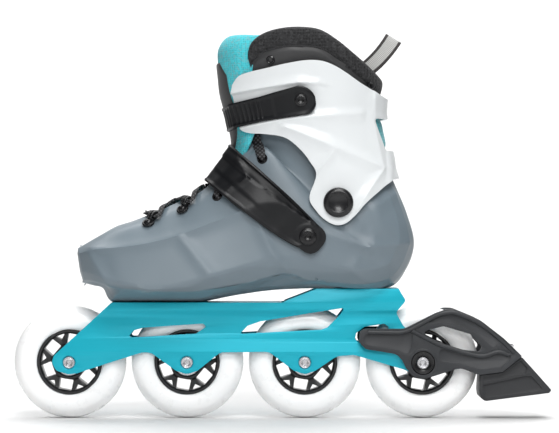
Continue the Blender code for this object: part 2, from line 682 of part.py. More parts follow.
COLLAR_TOP = [(79, 272), (77, 274.5), (70, 281), (58, 291), (45, 301), (32, 308.5), (17, 311.5), (0, 310.8),
              (-15, 306.5), (-25, 299.5), (-28.2, 291)]
COLLAR_LOW = 219.0


def collar_out(phi, z):
    """The collar's outside against the leg form: under the cuff at the heel and above, else in the shell."""
    under = -(CUFF_WALL + 1.2)
    in_shell = -(SHELL_UNDER_LEG + SHELL_WALL + 2.8)
    low = between([(37, under), (58, in_shell)], abs(phi))
    return between([(240, low), (252, under)], z)


def make_collar():
    under = -(CUFF_WALL + 1.2)
    columns = []
    for x, z in COLLAR_TOP:
        phi = leg_phi(x, z, under)
        columns.append((phi, between([(70, COLLAR_LOW), (105, COLLAR_LOW + 23)], phi), phi, z))
    columns[0] = (0.0, COLLAR_LOW, 0.0, COLLAR_TOP[0][1])
    points, faces = leg_band(columns, 5, collar_out)
    faces = facing_out(points, faces, Vector((25, 0, 250)))
    walled("liner_collar", points, faces, COLLAR_WALL, "black_fabric")


def make_tongue():
    """The tongue's upper part, before the leg inside the cuff, and its lower part, under the throat."""
    front = []
    for phi in (180, 171, 162, 153, 146):
        front.append((phi, 240.0, phi - 2, 300.0 + 5 * (180 - phi) / 34))
    sheet = front + [(360 - a, b, 360 - c, d) for a, b, c, d in front[1:]]
    sheet.sort()
    points, faces = leg_band(sheet, 4, lambda phi, z: -4.9, both_sides=False)
    faces = facing_out(points, faces, Vector((25, 0, 250)))
    walled("tongue_upper", points, faces, 7.0, "teal_fabric")

    rows = shell_half()[4:10]
    inward = Vector((0.45, 0, -0.9)) * 8.1
    points, faces = [], []
    across = 4
    for row in rows:
        edge, shoulder = row[THROAT_RAIL], row[THROAT_RAIL - 1]
        for k in range(-across, across + 1):
            share = k / across
            fall = (edge.z - shoulder.z) * 0.25 * share * share
            points.append(Vector((edge.x, -share * (edge.y - 1.5), edge.z - fall)) + inward)
    count = 2 * across + 1
    for i in range(len(rows) - 1):
        for k in range(count - 1):
            a, b = i * count + k, (i + 1) * count + k
            faces.append((a, a + 1, b + 1, b))
    faces = facing_out(points, faces, Vector((20, 0, 100)))
    walled("tongue_lower", points, faces, 4.0, "teal_fabric")


def make_pull_loop():
    """A webbing loop sewn behind the collar: two legs that meet in a fold at the top."""
    foot, top = Vector((70.4, 0, 278.3)), Vector((90.5, 0, 304.0))
    along = (top - foot).normalized()
    across = Vector((along.z, 0, -along.x)) * 5.2
    length = (top - foot).length
    path = [(0.0, 12.0), (0.35, 9.5), (0.7, 6.5), (0.92, 3.6), (1.0, 0.0)]
    line = [(t, y) for t, y in path] + [(t, -y) for t, y in reversed(path[:-1])]
    points, faces = [], []
    for t, y in line:
        for side in (-1, 1):
            points.append(foot + along * (t * length) + Vector((0, y, 0)) + across * side)
    for k in range(len(line) - 1):
        faces.append((2 * k, 2 * k + 1, 2 * k + 3, 2 * k + 2))
    walled("pull_loop", points, facing_out(points, faces, foot), 1.1, "grey_webbing")


# ---------------------------------------------------------------- straps and buckles

def strap_sheet(name, columns, finish):
    """A strap from columns of outer points across its width, with its thickness on the inner side."""
    count = len(columns[0])
    points = [p for column in columns for p in column]
    faces = []
    for i in range(len(columns) - 1):
        for k in range(count - 1):
            a, b = i * count + k, (i + 1) * count + k
            faces.append((a, b, b + 1, a + 1))
    inside = sum(points, Vector()) / len(points) + Vector((25, 0, -5))
    inside.y = 0
    return walled(name, points, facing_out(points, faces, inside), STRAP_THICK, finish)


def top_strap_centre(x):
    return between([(-46.0, 238.7), (TOP_SCREW_X, TOP_SCREW_Z)], x)


# Places along the top strap: x on the left from its rounded end on, and on the right to the buckle
TOP_STRAP_LEFT = (26.4, 24.0, 20.0, 12.0, 0.0, -13.0, -26.0, -36.0, -43.0, -60.0)
TOP_STRAP_RIGHT = (-43.0, -36.0, -26.0, -13.0, 0.0, 10.0, 18.5)


def make_top_strap():
    """The ladder strap over the cuff's flaps and the tongue, with its screw on the left."""
    columns = []
    for x, sign in [(x, 1) for x in TOP_STRAP_LEFT] + [(x, -1) for x in TOP_STRAP_RIGHT]:
        centre = top_strap_centre(x)
        beyond = max(x - TOP_SCREW_X, 0.0) / 11.9 * (sign > 0)
        wide = 11.6 if sign > 0 else 9.4
        half = between([(-46.0, 9.3), (-15.0, 9.4), (TOP_SCREW_X, wide)], x)
        half *= sqrt(max(1 - beyond ** 2, 0.0))
        phi = 180.0 if x < -50 else leg_phi(x, centre)
        cuffed = between([(-46.0, 0.0), (-36.5, 1.0)], x if x > -50 else -46)
        out = STRAP_THICK + between([(0, -4.3), (1, STRAP_LIFT)], cuffed)
        column = []
        for k in range(3):
            z = centre + half * (k - 1)
            column.append(leg_point(sign * phi, z, out))
        columns.append(column)
    strap = strap_sheet("top_strap", columns, "black_plastic")
    at = (TOP_SCREW_X, 0, TOP_SCREW_Z)
    boolean(strap, turned("top_strap_hole", [(2.9, -80), (2.9, 0)], None, at, 12))
    surface = leg_point(leg_phi(TOP_SCREW_X, TOP_SCREW_Z), TOP_SCREW_Z, 0).y
    face = surface - STRAP_LIFT - 0.4 - STRAP_THICK - GAP
    profile = [(3.6, face - 1.9), (5.0, face - 1.0), (5.0, face), (2.5, face), (2.5, face + 7.2)]
    turned("top_strap_screw", profile, "steel", at, 16)


def instep_frame():
    """The strap's own directions: along it, from the screw up over the instep, and across it."""
    along = Vector((-70.6, 0, 59.3)).normalized()
    return Vector((STRAP_SCREW_X, 0, STRAP_SCREW_Z)), along, Vector((along.z, 0, -along.x))


def taut_section(tree, origin, along):
    """The taut strap's way round the boot in one plane across it: the section's convex hull."""
    hits = []
    for degree in range(-40, 221):
        way = Vector((0, -cos(radians(degree)), 0)) + along * sin(radians(degree))
        far = origin + way * 400
        found = tree.ray_cast(far, -way)[0]
        if found is None or (found - origin).dot(way) < 5:
            continue
        flat = found - origin
        hits.append(Vector((-flat.y, flat.dot(along))))
    return [hits[k] for k in convex_hull_2d(hits)]


def hull_distance(hull, degree):
    """How far the hull is from the origin in a direction."""
    way = Vector((cos(radians(degree)), sin(radians(degree))))
    best = 0.0
    for k, a in enumerate(hull):
        b = hull[(k + 1) % len(hull)]
        side = b - a
        cross = way.x * side.y - way.y * side.x
        if abs(cross) < 1e-9:
            continue
        distance = (a.x * side.y - a.y * side.x) / cross
        share = (a.x * way.y - a.y * way.x) / cross
        if distance > 0 and -1e-6 <= share <= 1 + 1e-6:
            best = max(best, distance)
    return best


def on_hull(hull, degree):
    return Vector((cos(radians(degree)), sin(radians(degree)))) * hull_distance(hull, degree)


def instep_strap_edges(rise):
    """The strap's lower and upper edge across its line, by its share of the way up to the instep."""
    low = -(11.2 + 7.6 * max(rise, 0) ** 0.7)
    high = 12.2 + 4.4 * max(rise, 0)
    return low, high


# Places along the instep strap, in degrees round its section from straight out on the left
INSTEP_STRAP_DEGREES = (-14, -11, -7, 0, 12, 24, 36, 48, 58, 65, 70, 74, 77, 81, 90, 99, 103, 106, 110, 115,
                        122, 132, 140, 148, 156, 164, 172, 181)


def make_instep_strap(tree):
    """The broad strap from its screw on the left over the instep, into the buckle on the right."""
    origin, along, across = instep_frame()
    sections = 5
    hulls = {}
    columns = []
    for degree in INSTEP_STRAP_DEGREES:
        rise = min(sin(radians(max(degree, 0))), 1.0)
        low, high = instep_strap_edges(rise)
        if degree < 0:
            low, high = low * sqrt(1 - (degree / 17) ** 2), high * sqrt(1 - (degree / 19) ** 2)
        if degree > 110:
            narrow = min((degree - 110) / 38, 1.0)
            low, high = low + (-11.0 - low) * narrow, high + (11.0 - high) * narrow
        column = []
        for k in range(sections):
            v = low + (high - low) * k / (sections - 1)
            key = round(v)
            if key not in hulls:
                hulls[key] = taut_section(tree, origin + across * key, along)
            here, before, after = (on_hull(hulls[key], degree + turn) for turn in (0, -3, 3))
            tangent = (after - before).normalized()
            lift = STRAP_THICK + between([(0.5, 1.0), (0.85, 3.6)], rise)
            here += Vector((tangent.y, -tangent.x)) * lift
            column.append(origin + across * v + Vector((0, -here.x, 0)) + along * here.y)
        columns.append(column)
    strap = strap_sheet("instep_strap", columns, "black_plastic")
    at = (STRAP_SCREW_X, 0, STRAP_SCREW_Z)
    boolean(strap, turned("instep_strap_hole", [(2.9, -80), (2.9, 0)], None, at, 12))
    face = min(p.y for column in columns[1:5] for p in column[1:4]) - GAP
    profile = [(4.4, face - 1.6), (6.6, face - 1.0), (6.6, face), (2.5, face), (2.5, face + 7.2)]
    turned("instep_strap_screw", profile, "black_plastic", at, 20)


def placed(obj, origin, along, normal):
    """The object, built with +X along and +Z outwards, put at a place on the boot."""
    side = normal.cross(along).normalized()
    turn = Matrix((along, side, normal)).transposed().to_4x4()
    obj.matrix_world = Matrix.Translation(origin * MM) @ turn
    return obj


def make_buckle(name, origin, along, normal, strap_half):
    """A ratchet buckle: two cheeks on a screwed-down plate, a lever between them and the lever's pin.
    Its own +X runs back along the strap, and its +Z away from the boot."""
    cheek_in, cheek_out = strap_half + 0.9, strap_half + 2.7
    plate = box(f"{name}_base", (15.0, -cheek_out, GAP), (24.0, cheek_out, 2.6), "black_plastic")
    cheeks = []
    for low, high in ((-cheek_out, -cheek_in), (cheek_in, cheek_out)):
        outline = [(-13, GAP), (18, GAP), (18, 5.5), (12, 7.6), (4, 7.6), (-13, 3.6)]
        cheeks.append(prism("cheek", outline, low, high))
    sides = joined(f"{name}_cheeks", cheeks)
    boolean(plate, sides, "UNION")
    pin_at = (9.0, 0, 5.6)
    way = [(LEVER_PIN + RUNNING, -30), (LEVER_PIN + RUNNING, 30)]
    plate_hole = turned(f"{name}_pin_way", way, None, pin_at, 12)
    lever_hole = turned(f"{name}_lever_way", way, None, pin_at, 12)
    boolean(plate, plate_hole)
    outline = [(-17, 4.0), (-15, 3.7), (6.4, 3.7), (9.4, 3.4), (11.4, 4.4), (11.6, 6.4), (10.0, 7.9),
               (-4, 7.4), (-12, 8.2), (-17.5, 7.6)]
    half = cheek_in - 0.5
    lever = prism(f"{name}_lever", outline, -half, half, "black_plastic")
    boolean(lever, lever_hole)
    reach = cheek_out - 0.1
    pin = turned(f"{name}_pin", [(LEVER_PIN, -reach), (LEVER_PIN, reach)], "steel", pin_at, 12)
    for obj in (plate, lever, pin, plate_hole, lever_hole, sides):
        local = obj.location.copy()
        placed(obj, origin, along, normal)
        obj.location = obj.matrix_world @ local


def make_buckles(tree):
    """One on the cuff and one on the shell, both on the right and in line with their straps."""
    x, reach, slope = 12.0, 4.0, 0.224
    z = top_strap_centre(x)
    here, ahead, behind = (leg_point(-leg_phi(x + go, z + go * slope), z + go * slope, 0)
                           for go in (0.0, reach, -reach))
    along = (ahead - behind).normalized()
    normal = Vector((0, 1, 0))
    normal = (normal - along * normal.dot(along)).normalized()
    make_buckle("top_buckle", here + normal * 1.2, along, normal, 9.6)

    origin, up, _ = instep_frame()
    spot, normal, *_ = tree.ray_cast(origin + up * 8.0 + Vector((0, 300, 0)), Vector((0, -1, 0)))
    along = -(up - normal * up.dot(normal)).normalized()
    make_buckle("instep_buckle", spot + normal, along, normal, 11.2)


# ---------------------------------------------------------------- laces

HOOK_LIFT, HOOK_LOOP = 0.9, (6.2, 0, 3.8)


def side_hit(tree, x, z, side):
    """The boot's surface seen from one side, and its direction out there, averaged over a few millimetres."""
    spots = [tree.ray_cast(Vector((x + dx, side * 300, z + dz)), Vector((0, -side, 0)))[0]
             for dx, dz in ((0, 0), (-5, 0), (5, 0), (0, -4), (0, 4))]
    normal = (spots[2] - spots[1]).cross(spots[4] - spots[3]).normalized()
    return spots[0], normal if normal.y * side > 0 else -normal


def make_hooks(tree):
    """Lace hooks: a riveted disc on the shell with a loop that stands towards the throat."""
    for row, (x, z) in enumerate(LACE_HOOKS, 1):
        for side, name in ((-1, "left"), (1, "right")):
            spot, normal = side_hit(tree, x, z, side)
            up = Vector((0.35, 0, 0.94))
            up = (up - normal * up.dot(normal)).normalized()
            profile = [(4.8, GAP), (4.8, 1.6), (3.2, 2.6), (1.2, 2.9)]
            disc = turned(f"lace_hook_{name}_{row}", profile, "black_plastic", (0, 0, 0), 12, axis="Z")
            loop = ring(f"lace_loop_{name}_{row}", Vector(HOOK_LOOP))
            for obj in (disc, loop):
                placed(obj, spot + normal * HOOK_LIFT, up, normal)
            boolean(disc, loop, "UNION")


def ring(name, centre, around=12, sides=5):
    """An oval ring of round wire whose hole runs along its own Y."""
    length, height, thickness = 3.9, 2.9, 1.0
    points, faces = [], []
    for i in range(around):
        a = 2 * pi * i / around
        for k in range(sides):
            b = 2 * pi * k / sides
            reach = thickness * cos(b)
            place = ((length + reach) * cos(a), thickness * sin(b), (height + reach) * sin(a))
            points.append(centre + Vector(place))
    for i in range(around):
        for k in range(sides):
            n, m = (i + 1) % around, (k + 1) % sides
            faces.append((i * sides + k, n * sides + k, n * sides + m, i * sides + m))
    return outward(mesh_object(name, points, faces))


def tube(name, path, radius, finish, sides=5):
    """A round cord along a smooth path, with closed ends."""
    points, faces = [], []
    side = Vector((0, 1, 0))
    for i, p in enumerate(path):
        way = (path[min(i + 1, len(path) - 1)] - path[max(i - 1, 0)]).normalized()
        side = (side - way * side.dot(way)).normalized()
        up = way.cross(side)
        for k in range(sides):
            a = 2 * pi * k / sides
            points.append(p + (side * cos(a) + up * sin(a)) * radius)
    for i in range(len(path) - 1):
        for k in range(sides):
            a, b, n = i * sides, (i + 1) * sides, (k + 1) % sides
            faces.append((a + k, a + n, b + n, b + k))
    faces += [tuple(range(sides)), tuple(range((len(path) - 1) * sides, len(path) * sides))]
    return outward(mesh_object(name, points, faces, finish))


def throat_edge(rows, x):
    """The throat's edge at one x: half width and height."""
    edge = [row[THROAT_RAIL] for row in rows[THROAT_STATION:]]
    return between([(p.x, p.y) for p in edge[:-3]], x), between([(p.x, p.z) for p in edge[:-3]], x)


def lace_half(rows, tree, s):
    """One half of the lace, from the middle of its lowest bar up to its end under the cuff's flap. s is -1
    for the half that starts on the left and 1 for the other, which crosses over it."""
    def over(x, at, lift):
        half, z = throat_edge(rows, x)
        return Vector((x - 0.45 * lift, at * half, z + 0.9 * lift))

    def loop(row, at):
        spot, normal = side_hit(tree, *LACE_HOOKS[row], at)
        up = Vector((0.35, 0, 0.94))
        up = (up - normal * up.dot(normal)).normalized()
        centre = spot + normal * (HOOK_LIFT + HOOK_LOOP[2]) + up * HOOK_LOOP[0]
        on = normal.cross(up) * at
        bow = ((-3.6, 3.0), (-1.5, -0.3), (1.5, -0.3), (3.6, 3.0))
        return [centre + on * go + up * rise for go, rise in bow]

    def hole(row, at, lift):
        return side_hit(tree, *LACE_EYELETS[row], at)[0] + Vector((0, at * lift, 0))

    def outside(x, z, at, lift):
        spot, normal = side_hit(tree, x, z, at)
        return spot + normal * lift

    cross = 1.6 if s > 0 else -2.4
    return ([over(-107, 0, 1.8), over(-106.5, s, 2.2)] + loop(0, s)
            + [over(-93, s, 2.2), over(-86, 0, cross), over(-80, -s, 2.2)] + loop(1, -s)
            + [over(-67, -s, 2.2), over(-61, 0, cross), over(-56, s * 0.85, -5.6)]
            + [hole(0, s, -6), hole(0, s, 2.2), outside(-50, 187.5, s, 1.6)]
            + [over(-48.5, s, 1.2), over(-45.5, s * 0.5, 0.9), over(-42, 0, cross * 0.6)]
            + [over(-36, -s * 0.85, -5.6), hole(1, -s, -6), hole(1, -s, 2.0)]
            + [hole(1, -s, 2.4) + Vector((-2, 0, 8))])


def make_laces(tree):
    rows = shell_half()
    left, right = lace_half(rows, tree, -1), lace_half(rows, tree, 1)
    route = left[::-1] + right[1:]
    steps = 2
    path = [through(route, k / steps) for k in range((len(route) - 1) * steps + 1)]
    tube("laces", path, LACE_RADIUS, "black_fabric")


def main():
    clear_scene()
    for number, x in enumerate(AXLES_X, 1):
        make_wheel(number, x)
    make_frame()
    make_mount_fasteners()
    make_brake()
    points, faces = make_shell()
    tree = BVHTree.FromPolygons(points, faces)
    make_liner()
    make_footbed()
    make_cuff()
    make_collar()
    make_tongue()
    make_pull_loop()
    make_top_strap()
    make_instep_strap(tree)
    make_buckles(tree)
    make_hooks(tree)
    make_laces(tree)


main()
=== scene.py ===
"""The looks of the inline skate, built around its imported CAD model.

Toe to -X, +Z up, the wheels' plane at y = 0 and the ground at z = 0. Sizes are in millimetres and
angles in degrees until a mesh is written, which is in metres, as the frame is.
"""

from math import asin, atan2, copysign, cos, degrees, exp, hypot, pi, radians, sin, sqrt

import bmesh
import bpy
from mathutils import Matrix, Vector, noise
from mathutils.bvhtree import BVHTree
from mathutils.geometry import convex_hull_2d


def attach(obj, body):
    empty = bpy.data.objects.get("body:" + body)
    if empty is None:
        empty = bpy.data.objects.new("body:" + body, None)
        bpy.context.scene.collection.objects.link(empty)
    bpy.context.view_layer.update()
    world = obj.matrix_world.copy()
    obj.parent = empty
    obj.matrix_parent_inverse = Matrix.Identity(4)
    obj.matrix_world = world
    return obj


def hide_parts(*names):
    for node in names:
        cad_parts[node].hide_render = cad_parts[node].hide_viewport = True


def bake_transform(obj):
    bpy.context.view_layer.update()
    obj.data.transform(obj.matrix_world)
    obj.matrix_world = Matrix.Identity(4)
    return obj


MM = 0.001

# Sizes shared with the CAD model
WHEEL_RADIUS, WHEEL_PITCH, FIRST_AXLE_X = 45.0, 94.0, -169.5
AXLES_X = [FIRST_AXLE_X + i * WHEEL_PITCH for i in range(4)]
HUB_RADIUS, HUB_HALF_WIDTH, BEARING_RADIUS = 25.9, 12.0, 11.0
WALL_INSIDE, WALL_OUTSIDE, DECK_HALF_WIDTH = 13.6, 16.6, 20.5
FRONT_DECK_Z, REAR_DECK_Z, DECK_THICKNESS = 93.0, 104.0, 4.0
BRAKE_INSIDE, BRAKE_OUTSIDE = 17.0, 22.8
PIVOT_X, PIVOT_Z, PIVOT_FACE = 44.6, 172.4, 47.35
SHELL_WALL, CUFF_WALL, STRAP_THICK = 3.0, 3.0, 2.6
TOP_SCREW_X, TOP_SCREW_Z = 15.1, 252.4
STRAP_SCREW_X, STRAP_SCREW_Z = 20.6, 145.7


# ---------------------------------------------------------------- curves and surfaces

def through(values, t):
    """Catmull-Rom curve through equally spaced values; t runs from 0 to len - 1."""
    last = len(values) - 1
    i = min(max(int(t), 0), last - 1)
    f = t - i
    p0, p1, p2, p3 = (values[min(max(k, 0), last)] for k in (i - 1, i, i + 1, i + 2))
    return (p1 * 2 + (p2 - p0) * f + (p0 * 2 - p1 * 5 + p2 * 4 - p3) * f * f
            + (p1 * 3 - p0 - p2 * 3 + p3) * f * f * f) * 0.5


def between(knots, x):
    """Straight-line value at x from (x, value) knots."""
    if x <= knots[0][0]:
        return knots[0][1]
    for (x0, v0), (x1, v1) in zip(knots, knots[1:]):
        if x <= x1:
            return v0 + (v1 - v0) * (x - x0) / (x1 - x0)
    return knots[-1][1]


def ease(t):
    """Smooth step from 0 to 1."""
    t = min(max(t, 0.0), 1.0)
    return t * t * (3 - 2 * t)


def rounded(outline, radius, arc=5):
    """The outline with each corner replaced by an arc; radius is one number, or one for each corner."""
    made = []
    for k, corner in enumerate(outline):
        r = radius[k] if hasattr(radius, "__len__") else radius
        here = Vector(corner)
        back = Vector(outline[k - 1]) - here
        on = Vector(outline[(k + 1) % len(outline)]) - here
        half = back.angle(on) / 2
        cut = min(r * cos(half) / max(sin(half), 1e-6), back.length * 0.48, on.length * 0.48)
        if r <= 0 or cut < 0.02:
            made.append(tuple(here))
            continue
        start, end = here + back.normalized() * cut, here + on.normalized() * cut
        for step in range(arc + 1):
            t = step / arc
            made.append(tuple(start * (1 - t) ** 2 + here * 2 * t * (1 - t) + end * t * t))
    return made


def line_distance(line, x, z):
    """Distance in the side view from a point to a polyline."""
    here = Vector((x, z))
    best = 1e9
    for a, b in zip(line, line[1:]):
        a, b = Vector(a), Vector(b)
        run = b - a
        t = min(max((here - a).dot(run) / run.length_squared, 0), 1)
        best = min(best, (a + run * t - here).length)
    return best


def ridges(lines, x, z):
    """Height of the tallest ridge at a side-view point; each ridge is its (height, reach, line)."""
    return max(height * max(0.0, 1 - line_distance(line, x, z) / reach) ** 2 for height, reach, line in lines)


# The leg form, which is the cuff's outside: height, back, widest place, front, half width
LEG = [
    (150, 108, 45, -62, 46.5),
    (172, 100.5, 43, -52, 47),
    (192, 95, 38, -45, 46.5),
    (213, 88.3, 33, -42.5, 45.8),
    (240, 83, 27, -47, 46.3),
    (260, 83.5, 24, -53, 48),
    (312, 84.5, 20, -58, 50.5),
]
LEG_BACK_POWER, LEG_FRONT_POWER = 2.35, 2.1
SHELL_UNDER_LEG = 8.2


def leg_section(z):
    t = between([(row[0], k) for k, row in enumerate(LEG)], z)
    return through([Vector(row[1:]) for row in LEG], min(max(t, 0), len(LEG) - 1.000001))


def leg_point(phi, z, out):
    """A point of the leg form moved outwards. phi is 0 at the back, 180 at the front, positive on the left."""
    back, widest, front, half = leg_section(z)
    c, s = cos(radians(phi)), sin(radians(phi))
    power = LEG_BACK_POWER if c > 0 else LEG_FRONT_POWER
    reach = (back - widest if c > 0 else widest - front) + out
    x = widest + copysign(reach * abs(c) ** (2 / power), c)
    return Vector((x, -copysign((half + out) * abs(s) ** (2 / power), s), z))


def leg_phi(x, z, out=0.0):
    back, widest, front, _ = leg_section(z)
    reach = (back - widest if x > widest else widest - front) + out
    power = LEG_BACK_POWER if x > widest else LEG_FRONT_POWER
    angle = degrees(asin(min(abs(x - widest) / reach, 1.0) ** (power / 2)))
    return 90 - angle if x > widest else 90 + angle


# Rails of half the shell's outside, one row for each station from the toe to the upper rim.
# Each point is (x, half width, z). A half width of None lies on the leg form.
SHELL_STATIONS = [
    [(-160, 0, 108.6), (-159, 14, 108.8), (-156.5, 25, 110.5), (-158, 28, 118), (-160.5, 26, 132), (-162, 16, 135.5),
     (-163, 8, 136)],
    [(-151, 0, 106.3), (-150, 20, 106.5), (-147, 38, 108), (-147.5, 42, 116), (-150, 38, 134.5), (-149, 26, 141),
     (-148, 11, 144.5)],
    [(-143, 0, 104), (-142, 23, 104), (-135, 46, 104.5), (-134, 49.5, 112), (-135, 44, 136), (-134, 31, 147),
     (-132, 12.5, 153.5)],
    [(-134.4, 0, 93), (-133.5, 24, 93), (-121, 50.5, 102), (-120, 53, 108.5), (-120, 46.5, 137.5), (-119, 34, 151),
     (-118, 14, 158)],
    [(-106, 0, 93), (-105, 26, 93), (-99, 52.5, 100), (-97, 55, 104.5), (-99, 48.5, 141.3), (-98, 35, 155),
     (-96, 16, 166.8)],
    [(-68.5, 0, 93), (-68, 27, 93), (-62, 51, 101.5), (-55.5, 54, 114.5), (-80.5, 49, 146.4), (-80, 36, 160.5),
     (-76, 18, 175.8)],
    [(-38, 0, 98.4), (-38, 27, 98.4), (-30, 47, 106.5), (-26, 50.5, 122.5), (-50, 47.5, 158), (-58, 36, 174.5),
     (-61, 20, 183.5)],
    [(-10, 0, 102.5), (-10, 27, 102.5), (5, 43, 116.5), (-6, 47.5, 128), (-30, 46.5, 166), (-41, 36.5, 189),
     (-47.5, 22, 199.5)],
    [(20, 0, 104), (20, 27, 104), (20, 39.5, 110), (20, 45, 127), (-8, 45.5, 172), (-24, 37, 202), (-34.5, 23.5, 213.5)],
    [(45, 0, 104), (44, 27, 104), (47, 36.5, 108), (52, 43.5, 120), (22, 45, 163), (-8, 38, 211), (-27.5, None, 223.5)],
    [(85, 0, 104), (80, 19, 104.3), (80, 30, 110.5), (80, 37, 122), (66, 42.5, 138), (15, None, 190), (-27, None, 227)],
    [(100, 0, 119), (98, 13, 119), (95, 24, 123), (89, 34, 133), (74, 41.5, 147), (27, None, 204), (-27, None, 229.5)],
    [(106.5, 0, 140), (105, 12.5, 141), (101, 23.5, 143.5), (93.5, 33, 149), (78, 40.5, 161), (38, None, 211),
     (-27, None, 231.5)],
    [(101, 0, 163), (99.5, 12, 164), (95.5, 22.5, 167), (87.5, 31.5, 172), (73, 36.2, 182), (38, None, 217),
     (-27, None, 233)],
    [(92, 0, 185), (90.5, 11.5, 186), (86, 21.5, 188), (77, 30.5, 191), (62, 37, 198), (33, None, 221),
     (-27.5, None, 234.5)],
    [(84, 0, 203), (82.5, 11.5, 203.5), (78, 21, 205), (69, 30, 207.5), (54, 37, 211.5), (27, None, 225),
     (-28, None, 236)],
]
THROAT_STATION, THROAT_RAIL = 3, 7
# How sharp the shell's shape turns at each rail: 0 is smooth and 1 a crease
RAIL_CREASE = [0, 0.7, 0.9, 0.75, 0.85, 0, 0, 0]


def under_leg(x, z):
    """A point of the shell's upper part, just inside the cuff."""
    return Vector((x, -leg_point(leg_phi(x, z, -SHELL_UNDER_LEG), z, -SHELL_UNDER_LEG).y, z))


def shell_half():
    """Stations of one side of the shell's outside, as vectors with y the half width. One more rail than
    the table has runs midway between its last two, bulged out or on the leg form."""
    rows = []
    for station in SHELL_STATIONS:
        row = [under_leg(x, z) if half is None else Vector((x, half, z)) for x, half, z in station]
        middle = (row[-2] + row[-1]) / 2
        if station[-1][1] is None:
            middle = under_leg(middle.x, middle.z)
        else:
            run = row[-1] - row[-2]
            middle += Vector((0, run.z, -run.y)).normalized() * (1.2 if rows else 0.0)
        row.insert(-1, middle)
        rows.append(row)
    return rows


def refined(rows, steps):
    """More stations between the given ones, on smooth curves along each rail, kept clear of the frame's decks."""
    count = (len(rows) - 1) * steps
    made = [[through([row[j] for row in rows], i / steps) for j in range(len(rows[0]))] for i in range(count + 1)]
    for row in made:
        for p in row[:2]:
            deck = REAR_DECK_Z if p.x > 42 else FRONT_DECK_Z
            p.z = max(p.z, deck + 0.3)
    return made


def across_rails(row, crease, steps):
    """A smooth curve through one station's points that turns sharply where the crease is near 1."""
    last = len(row) - 1
    curve = []
    for j in range(last):
        a, b = row[j], row[j + 1]
        run = b - a
        smooth_a = (b - row[j - 1]) / 2 if j else run
        smooth_b = (row[j + 2] - a) / 2 if j + 2 <= last else run
        start = smooth_a.lerp(run, crease[j])
        end = smooth_b.lerp(run, crease[j + 1])
        for k in range(steps):
            t = k / steps
            curve.append(a * (2 * t ** 3 - 3 * t * t + 1) + start * (t ** 3 - 2 * t * t + t)
                         + b * (3 * t * t - 2 * t ** 3) + end * (t ** 3 - t * t))
    curve.append(row[-1].copy())
    return curve


def both_sides(rows, closed_to):
    """Points and faces of both sides of a boot surface. Rows up to closed_to also meet over the instep."""
    points, index = [], []
    for row in rows:
        left, right = [], []
        for j, p in enumerate(row):
            left.append(len(points))
            points.append(Vector((p.x, -p.y, p.z)))
            right.append(left[0] if j == 0 else len(points))
            if j:
                points.append(Vector((p.x, p.y, p.z)))
        index.append((left, right))
    faces = []
    for i in range(len(rows) - 1):
        (l0, r0), (l1, r1) = index[i], index[i + 1]
        for j in range(len(rows[0]) - 1):
            faces.append((l0[j], l0[j + 1], l1[j + 1], l1[j]))
            faces.append((r0[j + 1], r0[j], r1[j], r1[j + 1]))
        if i < closed_to:
            faces.append((l0[-1], r0[-1], r1[-1], l1[-1]))
    return points, faces, index


# ---------------------------------------------------------------- mesh tools

def mesh_object(name, points, faces, smooth=45):
    """A mesh object from points in mm, smooth up to an angle between faces."""
    mesh = bpy.data.meshes.new(name)
    mesh.from_pydata([Vector(p) * MM for p in points], [], faces)
    mesh.update()
    if smooth:
        mesh.shade_smooth()
        mesh.set_sharp_from_angle(angle=radians(smooth))
    obj = bpy.data.objects.new(name, mesh)
    bpy.context.scene.collection.objects.link(obj)
    return obj


def outward(obj):
    made = bmesh.new()
    made.from_mesh(obj.data)
    bmesh.ops.recalc_face_normals(made, faces=made.faces)
    made.to_mesh(obj.data)
    made.free()
    return obj


def facing_out(points, faces, inside):
    """The faces as they are, or all turned round, so that most of them point away from a point inside."""
    total = 0.0
    for face in faces:
        centre = sum((points[k] for k in face), Vector()) / len(face)
        a, b, c = (points[k] for k in face[:3])
        total += (b - a).cross(c - a).dot(centre - inside)
    return faces if total > 0 else [tuple(reversed(face)) for face in faces]


def turned(name, profile, at=(0, 0, 0), segments=64, bored=False, axis="Y", smooth=32):
    """A solid of revolution about a line along Y (or Z) through a point; the profile is (radius, along) pairs."""
    centre = Vector(at)
    points, faces = [], []
    for radius, along in profile:
        for k in range(segments):
            a = 2 * pi * k / segments
            across = (radius * cos(a), radius * sin(a))
            turn = (across[0], along, across[1]) if axis == "Y" else (*across, along)
            points.append(centre + Vector(turn))
    rings = len(profile)
    for i in range(rings if bored else rings - 1):
        a, b = i * segments, (i + 1) % rings * segments
        for k in range(segments):
            n = (k + 1) % segments
            faces.append((a + k, a + n, b + n, b + k))
    if not bored:
        faces.append(tuple(range(segments)))
        faces.append(tuple(range((rings - 1) * segments, rings * segments)))
    return outward(mesh_object(name, points, faces, smooth))


def prism(name, outline, low, high, smooth=30):
    """A side-view outline of (x, z) points, extruded along Y from low to high."""
    count = len(outline)
    points = [(x, y, z) for y in (low, high) for x, z in outline]
    faces = [tuple(range(count)), tuple(range(count, 2 * count))]
    faces += [(k, (k + 1) % count, count + (k + 1) % count, count + k) for k in range(count)]
    return outward(mesh_object(name, points, faces, smooth))


def box(name, low, high):
    outline = [(low[0], low[2]), (high[0], low[2]), (high[0], high[2]), (low[0], high[2])]
    return prism(name, outline, low[1], high[1])


def applied(obj):
    """The object's mesh with its modifiers in it."""
    graph = bpy.context.evaluated_depsgraph_get()
    mesh = bpy.data.meshes.new_from_object(obj.evaluated_get(graph))
    obj.modifiers.clear()
    obj.data = mesh
    return obj


def boolean(obj, other, operation="DIFFERENCE"):
    change = obj.modifiers.new(operation, "BOOLEAN")
    change.operation = operation
    change.solver = "EXACT"
    change.object = other
    applied(obj)
    bpy.data.objects.remove(other)
    return obj


